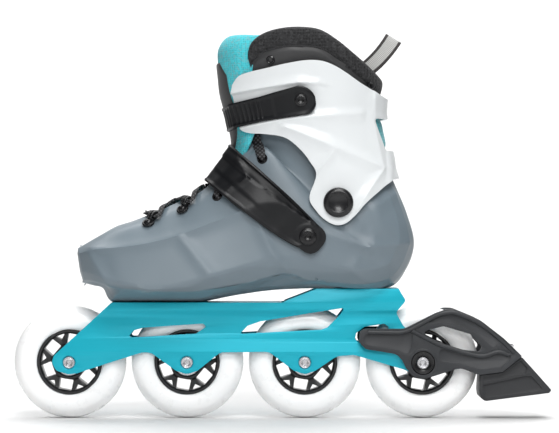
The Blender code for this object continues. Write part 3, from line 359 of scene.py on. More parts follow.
def together(name, parts):
    """Several separate objects as one."""
    made = bmesh.new()
    for part in parts:
        part.data.transform(part.matrix_world)
        made.from_mesh(part.data)
        bpy.data.objects.remove(part)
    mesh = bpy.data.meshes.new(name)
    made.to_mesh(mesh)
    made.free()
    obj = bpy.data.objects.new(name, mesh)
    bpy.context.scene.collection.objects.link(obj)
    return obj


def bevelled(obj, width, segments=2, angle=35):
    """Rounded edges, with the mesh smooth apart from edges sharper than the bevel leaves."""
    bevel = obj.modifiers.new("Edges", "BEVEL")
    bevel.width = width * MM
    bevel.segments = segments
    bevel.limit_method = "ANGLE"
    bevel.angle_limit = radians(angle)
    bevel.harden_normals = False
    applied(obj)
    obj.data.shade_smooth()
    obj.data.set_sharp_from_angle(angle=radians(40))
    return obj


def walled(name, points, faces, wall, rim=0.7):
    """A sheet given a wall on its inner side, with rounded rims."""
    obj = mesh_object(name, points, faces, 60)
    solid = obj.modifiers.new("Wall", "SOLIDIFY")
    solid.thickness = wall * MM
    solid.offset = -1
    applied(obj)
    return bevelled(obj, rim, 2, 60) if rim else obj


def smooth_line(line, steps):
    """More points on a smooth curve through a side-view line's own."""
    spots = [Vector(p) for p in line]
    return [through(spots, k / steps) for k in range((len(spots) - 1) * steps + 1)]


def raised(points, faces, height):
    """The surface's points moved out along its smooth normals by a height that a function of the point gives."""
    mesh = bpy.data.meshes.new("raised")
    mesh.from_pydata(points, [], faces)
    mesh.update()
    moved = [v.co + v.normal * height(v.co) for v in mesh.vertices]
    bpy.data.meshes.remove(mesh)
    return moved


def tube(name, path, width, thick, sides=10, normal_at=None):
    """A cord of oval section along a smooth path, with closed ends. normal_at gives the thin way at a point."""
    points, faces = [], []
    side = Vector((0, 1, 0))
    last = len(path) - 1
    for i, p in enumerate(path):
        way = (path[min(i + 1, last)] - path[max(i - 1, 0)]).normalized()
        if normal_at:
            side = way.cross(normal_at(p)).normalized()
        side = (side - way * side.dot(way)).normalized()
        up = way.cross(side)
        for k in range(sides):
            a = 2 * pi * k / sides
            points.append(p + side * (cos(a) * width / 2) + up * (sin(a) * thick / 2))
    for i in range(last):
        for k in range(sides):
            a, b, n = i * sides, (i + 1) * sides, (k + 1) % sides
            faces.append((a + k, a + n, b + n, b + k))
    faces += [tuple(range(sides)), tuple(range(last * sides, (last + 1) * sides))]
    return outward(mesh_object(name, points, faces, 60))


def finer(node, name, bevel=0.35, segments=2):
    """A piece in the shape of a CAD node, with flat faces merged and its edges rounded."""
    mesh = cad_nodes[node].data.copy()
    made = bmesh.new()
    made.from_mesh(mesh)
    bmesh.ops.remove_doubles(made, verts=made.verts, dist=1e-6)
    bmesh.ops.dissolve_limit(made, angle_limit=radians(2), verts=made.verts, edges=made.edges)
    made.to_mesh(mesh)
    made.free()
    mesh.materials.clear()
    obj = bpy.data.objects.new(name, mesh)
    bpy.context.scene.collection.objects.link(obj)
    return bevelled(obj, bevel, segments)


def placed(obj, origin, along, normal):
    """The object, built with +X along and +Z outwards, put at a place in mm."""
    side = normal.cross(along).normalized()
    turn = Matrix((along, side, normal)).transposed().to_4x4()
    obj.data.transform(Matrix.Translation(origin * MM) @ turn)
    return obj


def finish_piece(obj, material, slot, body, *nodes):
    """The piece takes its material, rides on its body, and stands for its CAD nodes. Its slot argument is not used."""
    zones = [polygon.material_index for polygon in obj.data.polygons]
    obj.data.materials.clear()
    for each in material if isinstance(material, (list, tuple)) else [material]:
        obj.data.materials.append(each)
    if any(zones):
        obj.data.polygons.foreach_set("material_index", zones)
    if body:
        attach(obj, body)
    if nodes:
        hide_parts(*nodes)
    return obj


# ---------------------------------------------------------------- materials

def new_material(name, colour, roughness, metallic=0.0, **sockets):
    """A Principled material; sockets are its constant values by input name, with _ for a space."""
    made = bpy.data.materials.new(name)
    made.use_nodes = True
    shader = made.node_tree.nodes["Principled BSDF"]
    shader.inputs["Base Color"].default_value = (*colour, 1)
    shader.inputs["Roughness"].default_value = roughness
    shader.inputs["Metallic"].default_value = metallic
    for key, value in sockets.items():
        shader.inputs[key.replace("_", " ")].default_value = value
    return made, shader


def add(material, kind, **values):
    """A node with its properties and, under an input's name, its input values."""
    node = material.node_tree.nodes.new(kind)
    for key, value in values.items():
        if hasattr(node, key):
            setattr(node, key, value)
        else:
            node.inputs[key.replace("_", " ")].default_value = value
    return node


def link(material, source, target):
    material.node_tree.links.new(source, target)


def coordinates(material, scale=(1, 1, 1)):
    """Object coordinates, stretched."""
    place = add(material, "ShaderNodeTexCoord")
    mapping = add(material, "ShaderNodeMapping")
    mapping.inputs["Scale"].default_value = scale
    link(material, place.outputs["Object"], mapping.inputs["Vector"])
    return mapping.outputs["Vector"]


def ramp(material, source, stops):
    """A colour ramp with (position, colour) stops; a colour may be one number."""
    node = add(material, "ShaderNodeValToRGB")
    elements = node.color_ramp.elements
    while len(elements) < len(stops):
        elements.new(0.5)
    for element, (position, value) in zip(elements, stops):
        element.position = position
        element.color = (*value, 1) if hasattr(value, "__len__") else (value, value, value, 1)
    link(material, source, node.inputs["Fac"])
    return node.outputs["Color"]


def bump(material, shader, layers):
    """Bumps one on another: (height output, strength, distance in mm) each."""
    below = None
    for height, strength, distance in layers:
        node = add(material, "ShaderNodeBump", Strength=strength, Distance=distance * MM)
        link(material, height, node.inputs["Height"])
        if below:
            link(material, below, node.inputs["Normal"])
        below = node.outputs["Normal"]
    link(material, below, shader.inputs["Normal"])


def noise_node(material, scale, detail=2.0, stretch=(1, 1, 1), rough=0.5):
    node = add(material, "ShaderNodeTexNoise", Scale=scale, Detail=detail, Roughness=rough)
    link(material, coordinates(material, stretch), node.inputs["Vector"])
    return node.outputs["Fac"]


def plastic(name, dark, light, roughness, grain=0.25, grain_scale=2600, edge_highlight=0.22, **sockets):
    """Moulded plastic: slow colour and gloss variation, a fine moulded grain, and a painted highlight that makes convex
    edges and creases a little paler.
    """
    made, shader = new_material(name, light, roughness, **sockets)
    slow = noise_node(made, 14, 3)
    edge = add(made, "ShaderNodeNewGeometry").outputs["Pointiness"]
    tone = ramp(made, slow, [(0.35, dark), (0.68, light)])
    # Painted highlight: where pointiness finds a convex edge or crease, the colour is mixed towards a paler one.
    edge_highlight_mask = ramp(made, edge, [(0.53, 0.0), (0.62, edge_highlight)])
    mix = add(made, "ShaderNodeMix", data_type="RGBA")
    link(made, edge_highlight_mask, mix.inputs["Factor"])
    link(made, tone, mix.inputs["A"])
    mix.inputs["B"].default_value = (*[min(1.0, c * 1.35 + 0.02) for c in light], 1)
    link(made, mix.outputs["Result"], shader.inputs["Base Color"])
    link(made, ramp(made, noise_node(made, 60, 4), [(0.3, roughness - 0.03), (0.7, roughness + 0.04)]),
         shader.inputs["Roughness"])
    bump(made, shader, [(noise_node(made, grain_scale, 2), grain, 0.05), (noise_node(made, 45, 3), 0.02, 0.3)])
    return made


def mesh_fabric(name, base, thread, cell=1.9, depth=0.5, fleck=None, sheen=0.2):
    """Spacer mesh: a net of threads over small round cells, with flecks of a second yarn."""
    made, shader = new_material(name, base, 0.85, Sheen_Weight=sheen, Sheen_Roughness=0.5)
    cells = add(made, "ShaderNodeTexVoronoi", feature="F1", Scale=1000 / cell, Randomness=0.35)
    link(made, coordinates(made), cells.inputs["Vector"])
    net = ramp(made, cells.outputs["Distance"], [(0.18, 0.0), (0.62, 1.0)])
    mix = add(made, "ShaderNodeMix", data_type="RGBA")
    link(made, net, mix.inputs["Factor"])
    mix.inputs["A"].default_value = (*base, 1)
    mix.inputs["B"].default_value = (*thread, 1)
    colour = mix.outputs["Result"]
    if fleck:
        speck = ramp(made, noise_node(made, 420, 3, rough=0.7), [(0.5, 0.0), (0.62, 1.0)])
        over = add(made, "ShaderNodeMix", data_type="RGBA")
        link(made, speck, over.inputs["Factor"])
        link(made, colour, over.inputs["A"])
        over.inputs["B"].default_value = (*fleck, 1)
        colour = over.outputs["Result"]
    link(made, colour, shader.inputs["Base Color"])
    bump(made, shader, [(net, depth, 0.45), (noise_node(made, 1500, 3), 0.25, 0.12)])
    return made


def woven(name, dark, light, pitch=1.1, roughness=0.8, **sockets):
    """A fine twill or webbing weave from two crossed waves."""
    made, shader = new_material(name, light, roughness, **sockets)
    waves = []
    for turn in ((1, 0.15, 1), (1, -0.15, -1)):
        wave = add(made, "ShaderNodeTexWave", wave_type="BANDS", bands_direction="DIAGONAL",
                   Scale=314 / pitch, Distortion=0.6)
        link(made, coordinates(made, turn), wave.inputs["Vector"])
        waves.append(wave.outputs["Fac"])
    both = add(made, "ShaderNodeMath", operation="MULTIPLY")
    link(made, waves[0], both.inputs[0])
    link(made, waves[1], both.inputs[1])
    link(made, ramp(made, both.outputs["Value"], [(0.1, dark), (0.7, light)]), shader.inputs["Base Color"])
    bump(made, shader, [(both.outputs["Value"], 0.5, 0.25), (noise_node(made, 2400, 2), 0.3, 0.08)])
    return made


def brushed(name, dark, light, roughness, grain=(30, 1500, 1500), metallic=1.0, **sockets):
    """Brushed metal: fine lines along X in its gloss and tone."""
    made, shader = new_material(name, light, roughness, metallic, **sockets)
    lines = noise_node(made, 1.0, 4, grain, 0.6)
    link(made, ramp(made, lines, [(0.3, dark), (0.7, light)]), shader.inputs["Base Color"])
    link(made, ramp(made, noise_node(made, 1.0, 3, [g * 1.7 for g in grain]),
                    [(0.3, roughness - 0.03), (0.7, roughness + 0.04)]), shader.inputs["Roughness"])
    bump(made, shader, [(lines, 0.08, 0.02), (noise_node(made, 30, 2), 0.01, 0.4)])
    return made


def make_materials():
    m = {}
    # The shell gets the strongest painted highlight on its edges and creases, the cuff a faint one.
    m["shell"] = plastic("shell_satin", (0.138, 0.176, 0.203), (0.15, 0.19, 0.219), 0.42, 0.2, edge_highlight=0.35,
                         Coat_Weight=0.08, Coat_Roughness=0.3, Specular_IOR_Level=0.45)
    m["cuff"] = plastic("cuff_gloss", (0.665, 0.69, 0.7), (0.685, 0.71, 0.72), 0.34, 0.05, edge_highlight=0.05,
                        Coat_Weight=0.2, Coat_Roughness=0.15)
    m["strap"] = plastic("strap_satin", (0.004, 0.0045, 0.0055), (0.007, 0.0075, 0.009), 0.4, 0.15,
                         Coat_Weight=0.04, Coat_Roughness=0.2, Specular_IOR_Level=0.26)
    m["gloss_black"] = plastic("gloss_black", (0.006, 0.006, 0.007), (0.01, 0.01, 0.011), 0.26, 0.05,
                               Coat_Weight=0.15, Coat_Roughness=0.15, Specular_IOR_Level=0.3)
    m["hub"] = plastic("hub_nylon", (0.008, 0.008, 0.009), (0.014, 0.014, 0.015), 0.33, 0.3)
    m["brake"] = plastic("brake_nylon", (0.02, 0.022, 0.025), (0.028, 0.03, 0.034), 0.46, 0.4, 1900,
                         Specular_IOR_Level=0.4)
    m["pad"] = plastic("pad_rubber", (0.018, 0.019, 0.021), (0.026, 0.027, 0.03), 0.55, 0.5, 1500,
                       Specular_IOR_Level=0.4)
    m["rubber"] = plastic("collar_rubber", (0.01, 0.01, 0.011), (0.018, 0.018, 0.019), 0.5, 0.3)
    m["tyre"] = tyre_material()
    m["frame"] = brushed("frame_anodised", (0.002, 0.4, 0.52), (0.003, 0.425, 0.55), 0.42, (40, 2600, 2600), 0.3,
                         Coat_Weight=0.22, Coat_Roughness=0.3, Anisotropic=0.2, Specular_IOR_Level=0.35)
    m["steel"] = brushed("bright_steel", (0.55, 0.55, 0.57), (0.72, 0.72, 0.74), 0.26, (900, 900, 900))
    m["spacer"] = brushed("turned_aluminium", (0.6, 0.6, 0.61), (0.75, 0.75, 0.76), 0.3, (60, 1400, 60))
    m["black_mesh"] = mesh_fabric("collar_mesh", (0.003, 0.003, 0.0035), (0.015, 0.015, 0.0165), 2.4, 0.9,
                                  (0.03, 0.03, 0.032), 0.06)
    m["black_skin"] = plastic("collar_skin", (0.026, 0.026, 0.027), (0.036, 0.036, 0.038), 0.5, 0.5, 1400,
                              Sheen_Weight=0.15, Sheen_Roughness=0.4)
    m["teal_mesh"] = mesh_fabric("tongue_mesh", (0.03, 0.4, 0.46), (0.06, 0.55, 0.62), 1.7, 0.5,
                                 (0.14, 0.4, 0.44), 0.1)
    m["felt"] = mesh_fabric("liner_felt", (0.012, 0.012, 0.013), (0.03, 0.03, 0.032), 0.9, 0.35)
    m["lace"] = woven("lace_braid", (0.006, 0.006, 0.007), (0.075, 0.075, 0.08), 1.7)
    m["webbing"] = woven("webbing_grey", (0.3, 0.3, 0.29), (0.55, 0.55, 0.54), 0.9)
    m["webbing_edge"] = woven("webbing_edge", (0.02, 0.017, 0.017), (0.05, 0.042, 0.042), 0.9)
    m["thread"] = woven("stitch_thread", (0.01, 0.01, 0.01), (0.05, 0.05, 0.055), 0.6)
    return m


def tyre_material():
    """White cast urethane: a little light passes through it, with faint moulding swirls and fine scuffs."""
    made, shader = new_material("tyre_urethane", (0.95, 0.96, 0.96), 0.3, Subsurface_Weight=0.2,
                                Subsurface_Scale=0.006, Coat_Weight=0.15, Coat_Roughness=0.15)
    shader.inputs["Subsurface Radius"].default_value = (1.0, 0.95, 0.9)
    swirl = noise_node(made, 22, 4, (1, 2.5, 1))
    link(made, ramp(made, swirl, [(0.3, (0.955, 0.96, 0.96)), (0.7, (0.97, 0.975, 0.975))]), shader.inputs["Base Color"])
    link(made, ramp(made, noise_node(made, 140, 4), [(0.3, 0.24), (0.7, 0.38)]), shader.inputs["Roughness"])
    bump(made, shader, [(noise_node(made, 900, 3), 0.12, 0.05)])
    return made


# ---------------------------------------------------------------- wheels

def wheel(number, x, m):
    at = (x, 0, WHEEL_RADIUS)
    body = f"wheel_{number}"
    half = [(HUB_RADIUS + 0.3, 9.9), (26.8, 10.5), (28.6, 11.5), (31.5, 12.1), (35, 11.9), (38.5, 10.8), (41.3, 8.6),
            (43.4, 5.8), (44.6, 2.9), (WHEEL_RADIUS, 0)]
    curve = [through([Vector(p) for p in half], k / 4) for k in range((len(half) - 1) * 4 + 1)]
    profile = [tuple(p) for p in curve] + [(p.x, -p.y) for p in reversed(curve[:-1])]
    finish_piece(turned(f"urethane_{number}", profile, at, 128, bored=True), m["tyre"], "tyre_urethane", body,
                 f"tyre_{number}")

    half = [(11.2, 11.2), (11.9, HUB_HALF_WIDTH), (13.2, HUB_HALF_WIDTH), (13.8, 11.4), (14.3, 8.6), (15.2, 7.6),
            (22.6, 7.9), (23.4, 9.2), (24.0, 9.9), (25.4, 9.9), (HUB_RADIUS, 9.4)]
    profile = half + [(r, -y) for r, y in reversed(half)]
    hub = turned(f"hub_wheel_{number}", profile, at, 96, bored=True)
    windows = []
    for spoke in range(6):
        middle = radians(-100 + 60 * spoke)
        for corners, radius in (([(14.6, -22.5), (14.6, 22.5), (23.2, 13), (23.2, -13)], 1.1),
                                ([(18.9, 30), (23.2, 19.5), (23.2, 40.5)], 0.6)):
            outline = [(at[0] + r * cos(middle + radians(a)), at[2] + r * sin(middle + radians(a))) for r, a in corners]
            windows.append(prism("window", rounded(outline, radius, 3), -15, 15))
    boolean(hub, together("windows", windows))
    finish_piece(bevelled(hub, 0.35), m["hub"], "hub_plastic", body, f"hub_{number}")

    for side, name in ((-1, "left"), (1, "right")):
        profile = [(4.1, 4.9), (10.85, 4.9), (10.85, 11.5), (10.5, 11.9), (9.3, 11.9), (9.1, 11.4), (6.3, 11.3), (6.1, 11.9),
                   (4.5, 11.9), (4.1, 11.6)]
        race = turned(f"race_{name}_{number}", [(r, side * y) for r, y in profile], at, 64, bored=True, smooth=20)
        finish_piece(race, m["steel"], "bearing_steel", body, f"bearing_{name}_{number}")

    reach = BRAKE_OUTSIDE - 1.0 if number == 4 else WALL_OUTSIDE - 0.2
    profile = [(2.1, -reach + 1.5), (2.6, -reach + 0.05), (3.3, -reach - 0.05), (3.45, -reach + 0.9),
               (3.95, -reach + 0.9), (4.1, -reach), (4.4, -reach), (4.85, -reach + 0.5), (5.0, -reach + 1.2),
               (5.0, -reach + 1.7), (4.0, -reach + 1.7), (4.0, reach - 0.6), (3.5, reach), (2.4, reach), (2.1, reach - 2)]
    axle = turned(f"axle_screw_{number}", profile, at, 64, smooth=28)
    points = [(at[0] + 2.3 * cos(pi * k / 3), at[2] + 2.3 * sin(pi * k / 3)) for k in range(6)]
    boolean(axle, prism("socket", points, -reach - 3, -reach + 4.2))
    finish_piece(axle, m["steel"], "screw_steel", "boot", f"axle_{number}")


# ---------------------------------------------------------------- frame and brake

FRAME_OUTLINE = [
    (-132, 96), (-181.5, 50.5), (-183.2, 45), (-179.5, 38.5), (-170, 35.6), (-163, 36.4), (-143, 43), (-111, 53),
    (-104, 52.8), (-84, 38.4), (-75.5, 35.6), (-67, 38.4), (-49, 53), (-10, 53.5), (10, 38.4), (18.5, 35.6),
    (27, 38.4), (44, 50), (58, 51), (97, 39.6), (106, 36), (114, 35.6), (122, 39), (123.5, 46), (119, 53),
    (97, 74.5), (91, 85), (99, 94.5), (95, 100.8), (90, 110), (43.5, 110), (2, 93.8), (-20, 96),
]
FRAME_CORNERS = [0, 5, 5, 5, 8, 8, 14, 12, 10, 10, 10, 10, 10, 10, 10, 10, 10, 14, 10, 10, 6, 6, 5, 5, 5, 6, 4, 3, 2, 0, 0, 1,
                 0]
FRONT_SLOT = [(-121.5, 66.3), (-118, 70.6), (-110, 72.8), (-62.6, 76), (-60, 73.6), (-68.3, 68), (-119.6, 65)]
MIDDLE_SLOT = [(-32.5, 68.6), (-27, 74.3), (-17, 77.8), (51, 89), (45.5, 82), (36.6, 73), (31.8, 71.2), (-31.5, 68)]
REAR_SLOT = [(58.5, 64), (59.5, 68.5), (66, 73.5), (82, 76), (86, 73), (76, 63), (61, 61)]


def skate_frame(m):
    """Two walls with a soft belly and a flared top, under a deck for the ball and one for the heel."""
    top = 112.0
    outside = [(16.2, 30), (16.25, 42), (16.35, 52), (16.4, 58), (16.45, 64), (16.5, 72), (16.6, 79), (16.9, 82),
               (18.2, 84.5), (19.9, 87), (20.4, 90), (DECK_HALF_WIDTH, 94), (DECK_HALF_WIDTH, top)]
    outside = [tuple(through([Vector(p) for p in outside], k / 3)) for k in range((len(outside) - 1) * 3 + 1)]
    half = outside + [(DECK_HALF_WIDTH - 3, top), (DECK_HALF_WIDTH - 3, 88), (WALL_INSIDE + 1.8, 82), (WALL_INSIDE, 78),
                      (WALL_INSIDE, 30)]
    points, faces = [], []
    count = len(half)
    for side in (-1, 1):
        base = len(points)
        for x in (-190, 130):
            points += [(x, side * y, z) for y, z in half]
        faces += [tuple(base + k for k in range(count)), tuple(base + count + k for k in range(count))]
        faces += [(base + k, base + (k + 1) % count, base + count + (k + 1) % count, base + count + k)
                  for k in range(count)]
    walls = outward(mesh_object("frame_channel", points, faces, 0))
    inside = DECK_HALF_WIDTH - 1.5
    joins = [box("deck", (-150, -inside, FRONT_DECK_Z - DECK_THICKNESS), (0, inside, 100)),
             box("deck", (43.5, -inside, REAR_DECK_Z - DECK_THICKNESS), (96, inside, 108))]
    for x in AXLES_X:
        for side in (-1, 1):
            profile = [(6.2, side * (HUB_HALF_WIDTH + 0.3)), (7.4, side * (WALL_INSIDE + 1))]
            joins.append(turned("boss", profile, (x, 0, WHEEL_RADIUS), 48))
    boolean(walls, together("joins", joins), "UNION")
    boolean(walls, prism("outline", rounded(FRAME_OUTLINE, FRAME_CORNERS, 6), -30, 30), "INTERSECT")
    cutters = [prism("slot", rounded(outline, 1.6, 4), -30, 30) for outline in (FRONT_SLOT, MIDDLE_SLOT, REAR_SLOT)]
    cutters.append(box("front_top", (-160, -30, FRONT_DECK_Z), (2.2, 30, 120)))
    cutters.append(box("rear_top", (20, -30, REAR_DECK_Z), (110, 30, 120)))
    boolean(walls, together("slots", cutters))
    sunk = WALL_OUTSIDE - 1.7
    holes = [turned("axle_hole", [(5.6, -30), (5.6, -sunk), (4.3, -sunk), (4.3, 30)], (x, 0, WHEEL_RADIUS), 48)
             for x in AXLES_X]
    holes += [turned("mount_hole", [(3.4, 80), (3.4, 120)], (x, 0, 0), 32, axis="Z") for x in (-100.5, 64.5)]
    well = sqrt((WHEEL_RADIUS + 2) ** 2 - (FRONT_DECK_Z - DECK_THICKNESS - WHEEL_RADIUS) ** 2)
    holes.append(box("wheel_well", (AXLES_X[1] - well, -14, 80), (AXLES_X[1] + well, 14, 100)))
    boolean(walls, together("holes", holes))
    finish_piece(bevelled(walls, 0.45, 2, 30), m["frame"], "frame_aluminium", "boot", "frame")


BRAKE_OUTLINE = [
    (61, 62), (62.5, 71), (68, 72.3), (97.5, 72), (123, 85), (131, 87.6), (138, 87.4), (157.5, 79.4), (177, 64.3),
    (191.2, 50.3), (175.5, 37.8), (156.5, 35.6), (143, 40.7), (138, 40), (120.5, 34.3), (112.5, 32.6), (104, 34.5),
    (99, 41), (96, 47), (91.5, 52), (67, 56),
]
BRAKE_CORNERS = [6, 5, 5, 14, 20, 14, 14, 30, 30, 1, 2, 6, 8, 8, 10, 10, 10, 8, 6, 12, 5]
BRAKE_WINDOW = [(112.5, 70), (128.5, 74.3), (150, 68), (159.5, 57.8), (157.5, 53.8), (144.5, 55.4), (128.5, 60.2),
                (117.5, 64.2)]
BRAKE_PANELS = [
    [(66, 61), (66, 68.3), (96, 68.3), (106, 73), (103, 58), (100, 51.5), (93, 55.5), (68, 59.5)],
    [(112, 77), (130, 84.2), (138, 83.8), (155.5, 76.5), (174, 62.5), (168, 57), (154, 69), (135, 77)],
    [(125, 57), (146, 51), (160, 49.2), (172, 56), (184.5, 50.4), (174.5, 42), (158, 40), (141, 45), (126, 46.5)],
]
BRAKE_RIBS = [
    [(69, 69.5), (84, 69.3), (97, 69.6), (110, 75.6), (122, 82.2), (131, 84.8), (139, 84.4), (157, 76.8), (174, 63.8),
     (185, 53.2)],
    [(104, 70.5), (112, 66.2), (124, 60.2), (134, 56.8), (147, 52.8), (160, 50.6), (172, 53.8), (181, 51.5)],
]
PAD_OUTLINE = [(158.6, 35.3), (175.4, 37.2), (191.3, 49.7), (215.0, 23.2), (213.0, 20.9), (162, 14.4), (158.5, 17),
               (157.8, 22)]


def wedge_panel(outline, depth, side, face):
    """A cutter that sinks a panel into a side face, deepest at its top, so that the panel leans back."""
    low = min(z for _, z in outline)
    high = max(z for _, z in outline)
    count = len(outline)
    inner = [(x, side * (face - depth * (0.15 + 0.85 * (z - low) / (high - low))), z) for x, z in outline]
    outer = [(x, side * (face + 6), z) for x, z in outline]
    faces = [tuple(range(count)), tuple(range(count, 2 * count))]
    faces += [(k, (k + 1) % count, count + (k + 1) % count, count + k) for k in range(count)]
    return outward(mesh_object("panel", inner + outer, faces))


def brake(m):
    bracket = prism("brake_arm", rounded(BRAKE_OUTLINE, BRAKE_CORNERS, 6), -BRAKE_OUTSIDE, BRAKE_OUTSIDE)
    boolean(bracket, box("channel", (40, -BRAKE_INSIDE, 0), (162, BRAKE_INSIDE, 120)))
    boolean(bracket, prism("window", rounded(BRAKE_WINDOW, 4.5, 6), -30, 30))
    panels = [wedge_panel(rounded(outline, 3.5, 5), 2.0, side, BRAKE_OUTSIDE) for outline in BRAKE_PANELS
              for side in (-1, 1)]
    boolean(bracket, together("panels", panels))
    at = (AXLES_X[3], 0, WHEEL_RADIUS)
    for side in (-1, 1):
        raised_ring = [(11.6, side * (BRAKE_INSIDE + 1)), (11.6, side * (BRAKE_OUTSIDE - 0.2)),
                       (10.9, side * (BRAKE_OUTSIDE + 0.3)), (9.6, side * (BRAKE_OUTSIDE + 0.3)), (9.6, side * (BRAKE_INSIDE + 1))]
        boolean(bracket, turned("boss", raised_ring, at, 64, bored=True), "UNION")
        boolean(bracket, turned("seat", [(9.6, side * 30), (9.6, side * (BRAKE_OUTSIDE - 3.0))], at, 64))
    boolean(bracket, turned("axle_way", [(4.3, -30), (4.3, 30)], at, 48))
    start, end = Vector((182.5, 0, 59.5)), Vector((175.0, 0, 27.0))
    way = (end - start).normalized()
    turn = Vector((0, 0, 1)).rotation_difference(way).to_matrix().to_4x4()
    hole = turned("screw_way", [(5.0, -20), (5.0, 4.0), (2.8, 4.0), (2.8, (end - start).length + 1)], (0, 0, 0), 32, axis="Z")
    hole.data.transform(Matrix.Translation(start * MM) @ turn)
    boolean(bracket, hole)
    bevelled(bracket, 0.7, 3, 30)
    for number, line in enumerate(BRAKE_RIBS):
        for side in (-1, 1):
            path = [Vector((x, side * BRAKE_OUTSIDE, z)) for x, z in smooth_line(line, 8)]
            rib = tube("rib", path, 3.6, 2.6, 12, lambda p: Vector((0, side, 0)))
            boolean(bracket, rib, "UNION")
    bracket.data.shade_smooth()
    bracket.data.set_sharp_from_angle(angle=radians(40))
    finish_piece(bracket, m["brake"], "brake_plastic", "boot", "brake_bracket")

    pad = prism("pad_block", rounded(PAD_OUTLINE, [2, 1, 2, 2.5, 2.5, 4, 3, 3], 5), -19.5, 19.5)
    cheeks = ([(160.5, 29.6), (160.5, 33.6), (175, 35.2), (190.5, 47), (196, 40.5), (193.5, 36.6)],
              [(162.5, 17.5), (160, 27), (194, 34.4), (199, 34.2), (208.5, 23.4)])
    facets = [wedge_panel(rounded(cheek, 1.5, 4), 2.2, side, 19.5) for side in (-1, 1) for cheek in cheeks]
    boolean(pad, together("facets", facets))
    finish_piece(bevelled(pad, 0.8, 3, 30), m["pad"], "brake_rubber", "boot", "brake_pad")

    for side, name in ((-1, "left"), (1, "right")):
        profile = [(5.5, 20.1), (9.25, 20.1), (9.25, 22.6), (8.8, 23.0), (6.6, 22.7), (5.9, 22.0), (5.5, 21.8)]
        collar = turned(f"brake_collar_{name}", [(r, side * y) for r, y in profile], at, 64, bored=True)
        finish_piece(collar, m["gloss_black"], "collar_rubber", "boot", f"axle_collar_{name}")


# ---------------------------------------------------------------- boot

SHELL_LINES = [
    (1.3, 8, [(-159.5, 136.5), (-134.8, 135.9), (-106.5, 139.8), (-80.6, 146.4), (-31.9, 165.3)]),
    (1.5, 10, [(-80.5, 146.4), (-55.2, 115.3)]),
    (1.6, 9, [(-151.3, 131.4), (-135.3, 107.7)]),
    (1.6, 10, [(36.5, 146.1), (66.5, 137.5), (104.1, 140.4)]),
    (1.4, 9, [(66.5, 137.5), (55.9, 119.3), (66.4, 110.8)]),
    (1.7, 10, [(-24, 170), (-9.1, 135.1), (5.4, 116.6)]),
    (1.7, 11, [(54, 154), (92, 181)]),
]
LOW_CREASE = [(-165, 113), (-134.5, 108.5), (-102.9, 105.0), (-71.5, 106.0), (-55.2, 115.0), (-24.8, 122.6),
              (5.4, 121), (30, 117), (60, 118)]
SOLE_LIP = [(-165, 111.5), (-156.4, 109.8), (-139.2, 105.3), (-127.4, 102.6), (-94.1, 99.9), (-67, 100.8),
            (-24.8, 108), (5, 114), (14, 109.5), (60, 108)]


def shell_relief(p):
    """Height over the shell's base form: creases, a band that leans in under the low one, and the sole's lip."""
    crease, lip = between(LOW_CREASE, p.x), between(SOLE_LIP, p.x)
    height = ridges(SHELL_LINES, p.x, p.z)
    fade = ease((60 - p.x) / 30)
    height -= 2.4 * fade * min(max((crease - p.z) / (crease - lip), 0), 1.4)
    height -= 0.9 * fade * exp(-((p.z - lip) / 0.8) ** 2)
    return height * ease((abs(p.y) - 12) / 14) * ease((p.x + 160) / 14)
EYELETS = [(-50.8, 177.4), (-15.2, 207.1)]
HOOKS = [(-105.0, 155.5), (-77.7, 166.5)]


def close_toe(points, faces, index, columns=7):
    """Close the toe with a slightly domed face between the two sides of the first station."""
    left, right = index[0]
    grid = []
    for j in range(1, len(left)):
        a, b = points[left[j]], points[right[j]]
        row = [left[j]]
        for k in range(1, columns):
            t = k / columns
            p = a.lerp(b, t)
            p.x -= 3.0 * (1 - (2 * t - 1) ** 2) * (b.y / 25) ** 2
            row.append(len(points))
            points.append(p)
        grid.append(row + [right[j]])
    for a, b in zip(grid, grid[1:]):
        faces += [(a[k], a[k + 1], b[k + 1], b[k]) for k in range(columns)]
    faces += [(left[0], grid[0][k + 1], grid[0][k]) for k in range(columns)]
    after_left, after_right = index[1][0][-1], index[1][1][-1]
    faces.remove((left[-1], right[-1], after_right, after_left))
    top, half = grid[-1], columns // 2
    faces += [(top[k], top[k + 1], after_left if k < half else after_right) for k in range(columns)]
    faces.append((top[half], after_right, after_left))


def shell(m):
    steps = 11
    rows = [across_rails(row, RAIL_CREASE, 12) for row in refined(shell_half(), steps)]
    for below, p in zip(rows[0], rows[0][1:]):
        p.z = max(p.z, below.z + 0.01)
    points, faces, index = both_sides(rows, THROAT_STATION * steps)
    close_toe(points, faces, index)
    faces = facing_out(points, faces, Vector((0, 0, 140)))
    made = raised(points, faces, shell_relief)
    tree, plain = BVHTree.FromPolygons(made, faces), BVHTree.FromPolygons(points, faces)
    hull = walled("boot_shell", made, faces, SHELL_WALL, 0)
    cutters = [turned("pivot_way", [(4.4, -80), (4.4, 80)], (PIVOT_X, 0, PIVOT_Z), 32)]
    cutters += [turned("eyelet_way", [(3.0, -80), (3.0, 80)], (x, 0, z), 32) for x, z in EYELETS]
    cutters += [turned("nut_way", [(6.8, 80), (6.8, 112)], (x, 0, 0), 32, axis="Z") for x in (-100.5, 64.5)]
    boolean(hull, together("ways", cutters))
    hull.data.shade_smooth()
    hull.data.set_sharp_from_angle(angle=radians(38))
    finish_piece(hull, m["shell"], "shell_plastic", "boot", "shell")
    return tree, plain


def side_hit(tree, x, z, side):
    """The boot's surface seen from one side, and its direction out there, averaged over a few millimetres."""
    spots = [tree.ray_cast(Vector((x + dx, side * 300, z + dz)), Vector((0, -side, 0)))[0]
             for dx, dz in ((0, 0), (-5, 0), (5, 0), (0, -4), (0, 4))]
    normal = (spots[2] - spots[1]).cross(spots[4] - spots[3]).normalized()
    return spots[0], normal if normal.y * side > 0 else -normal


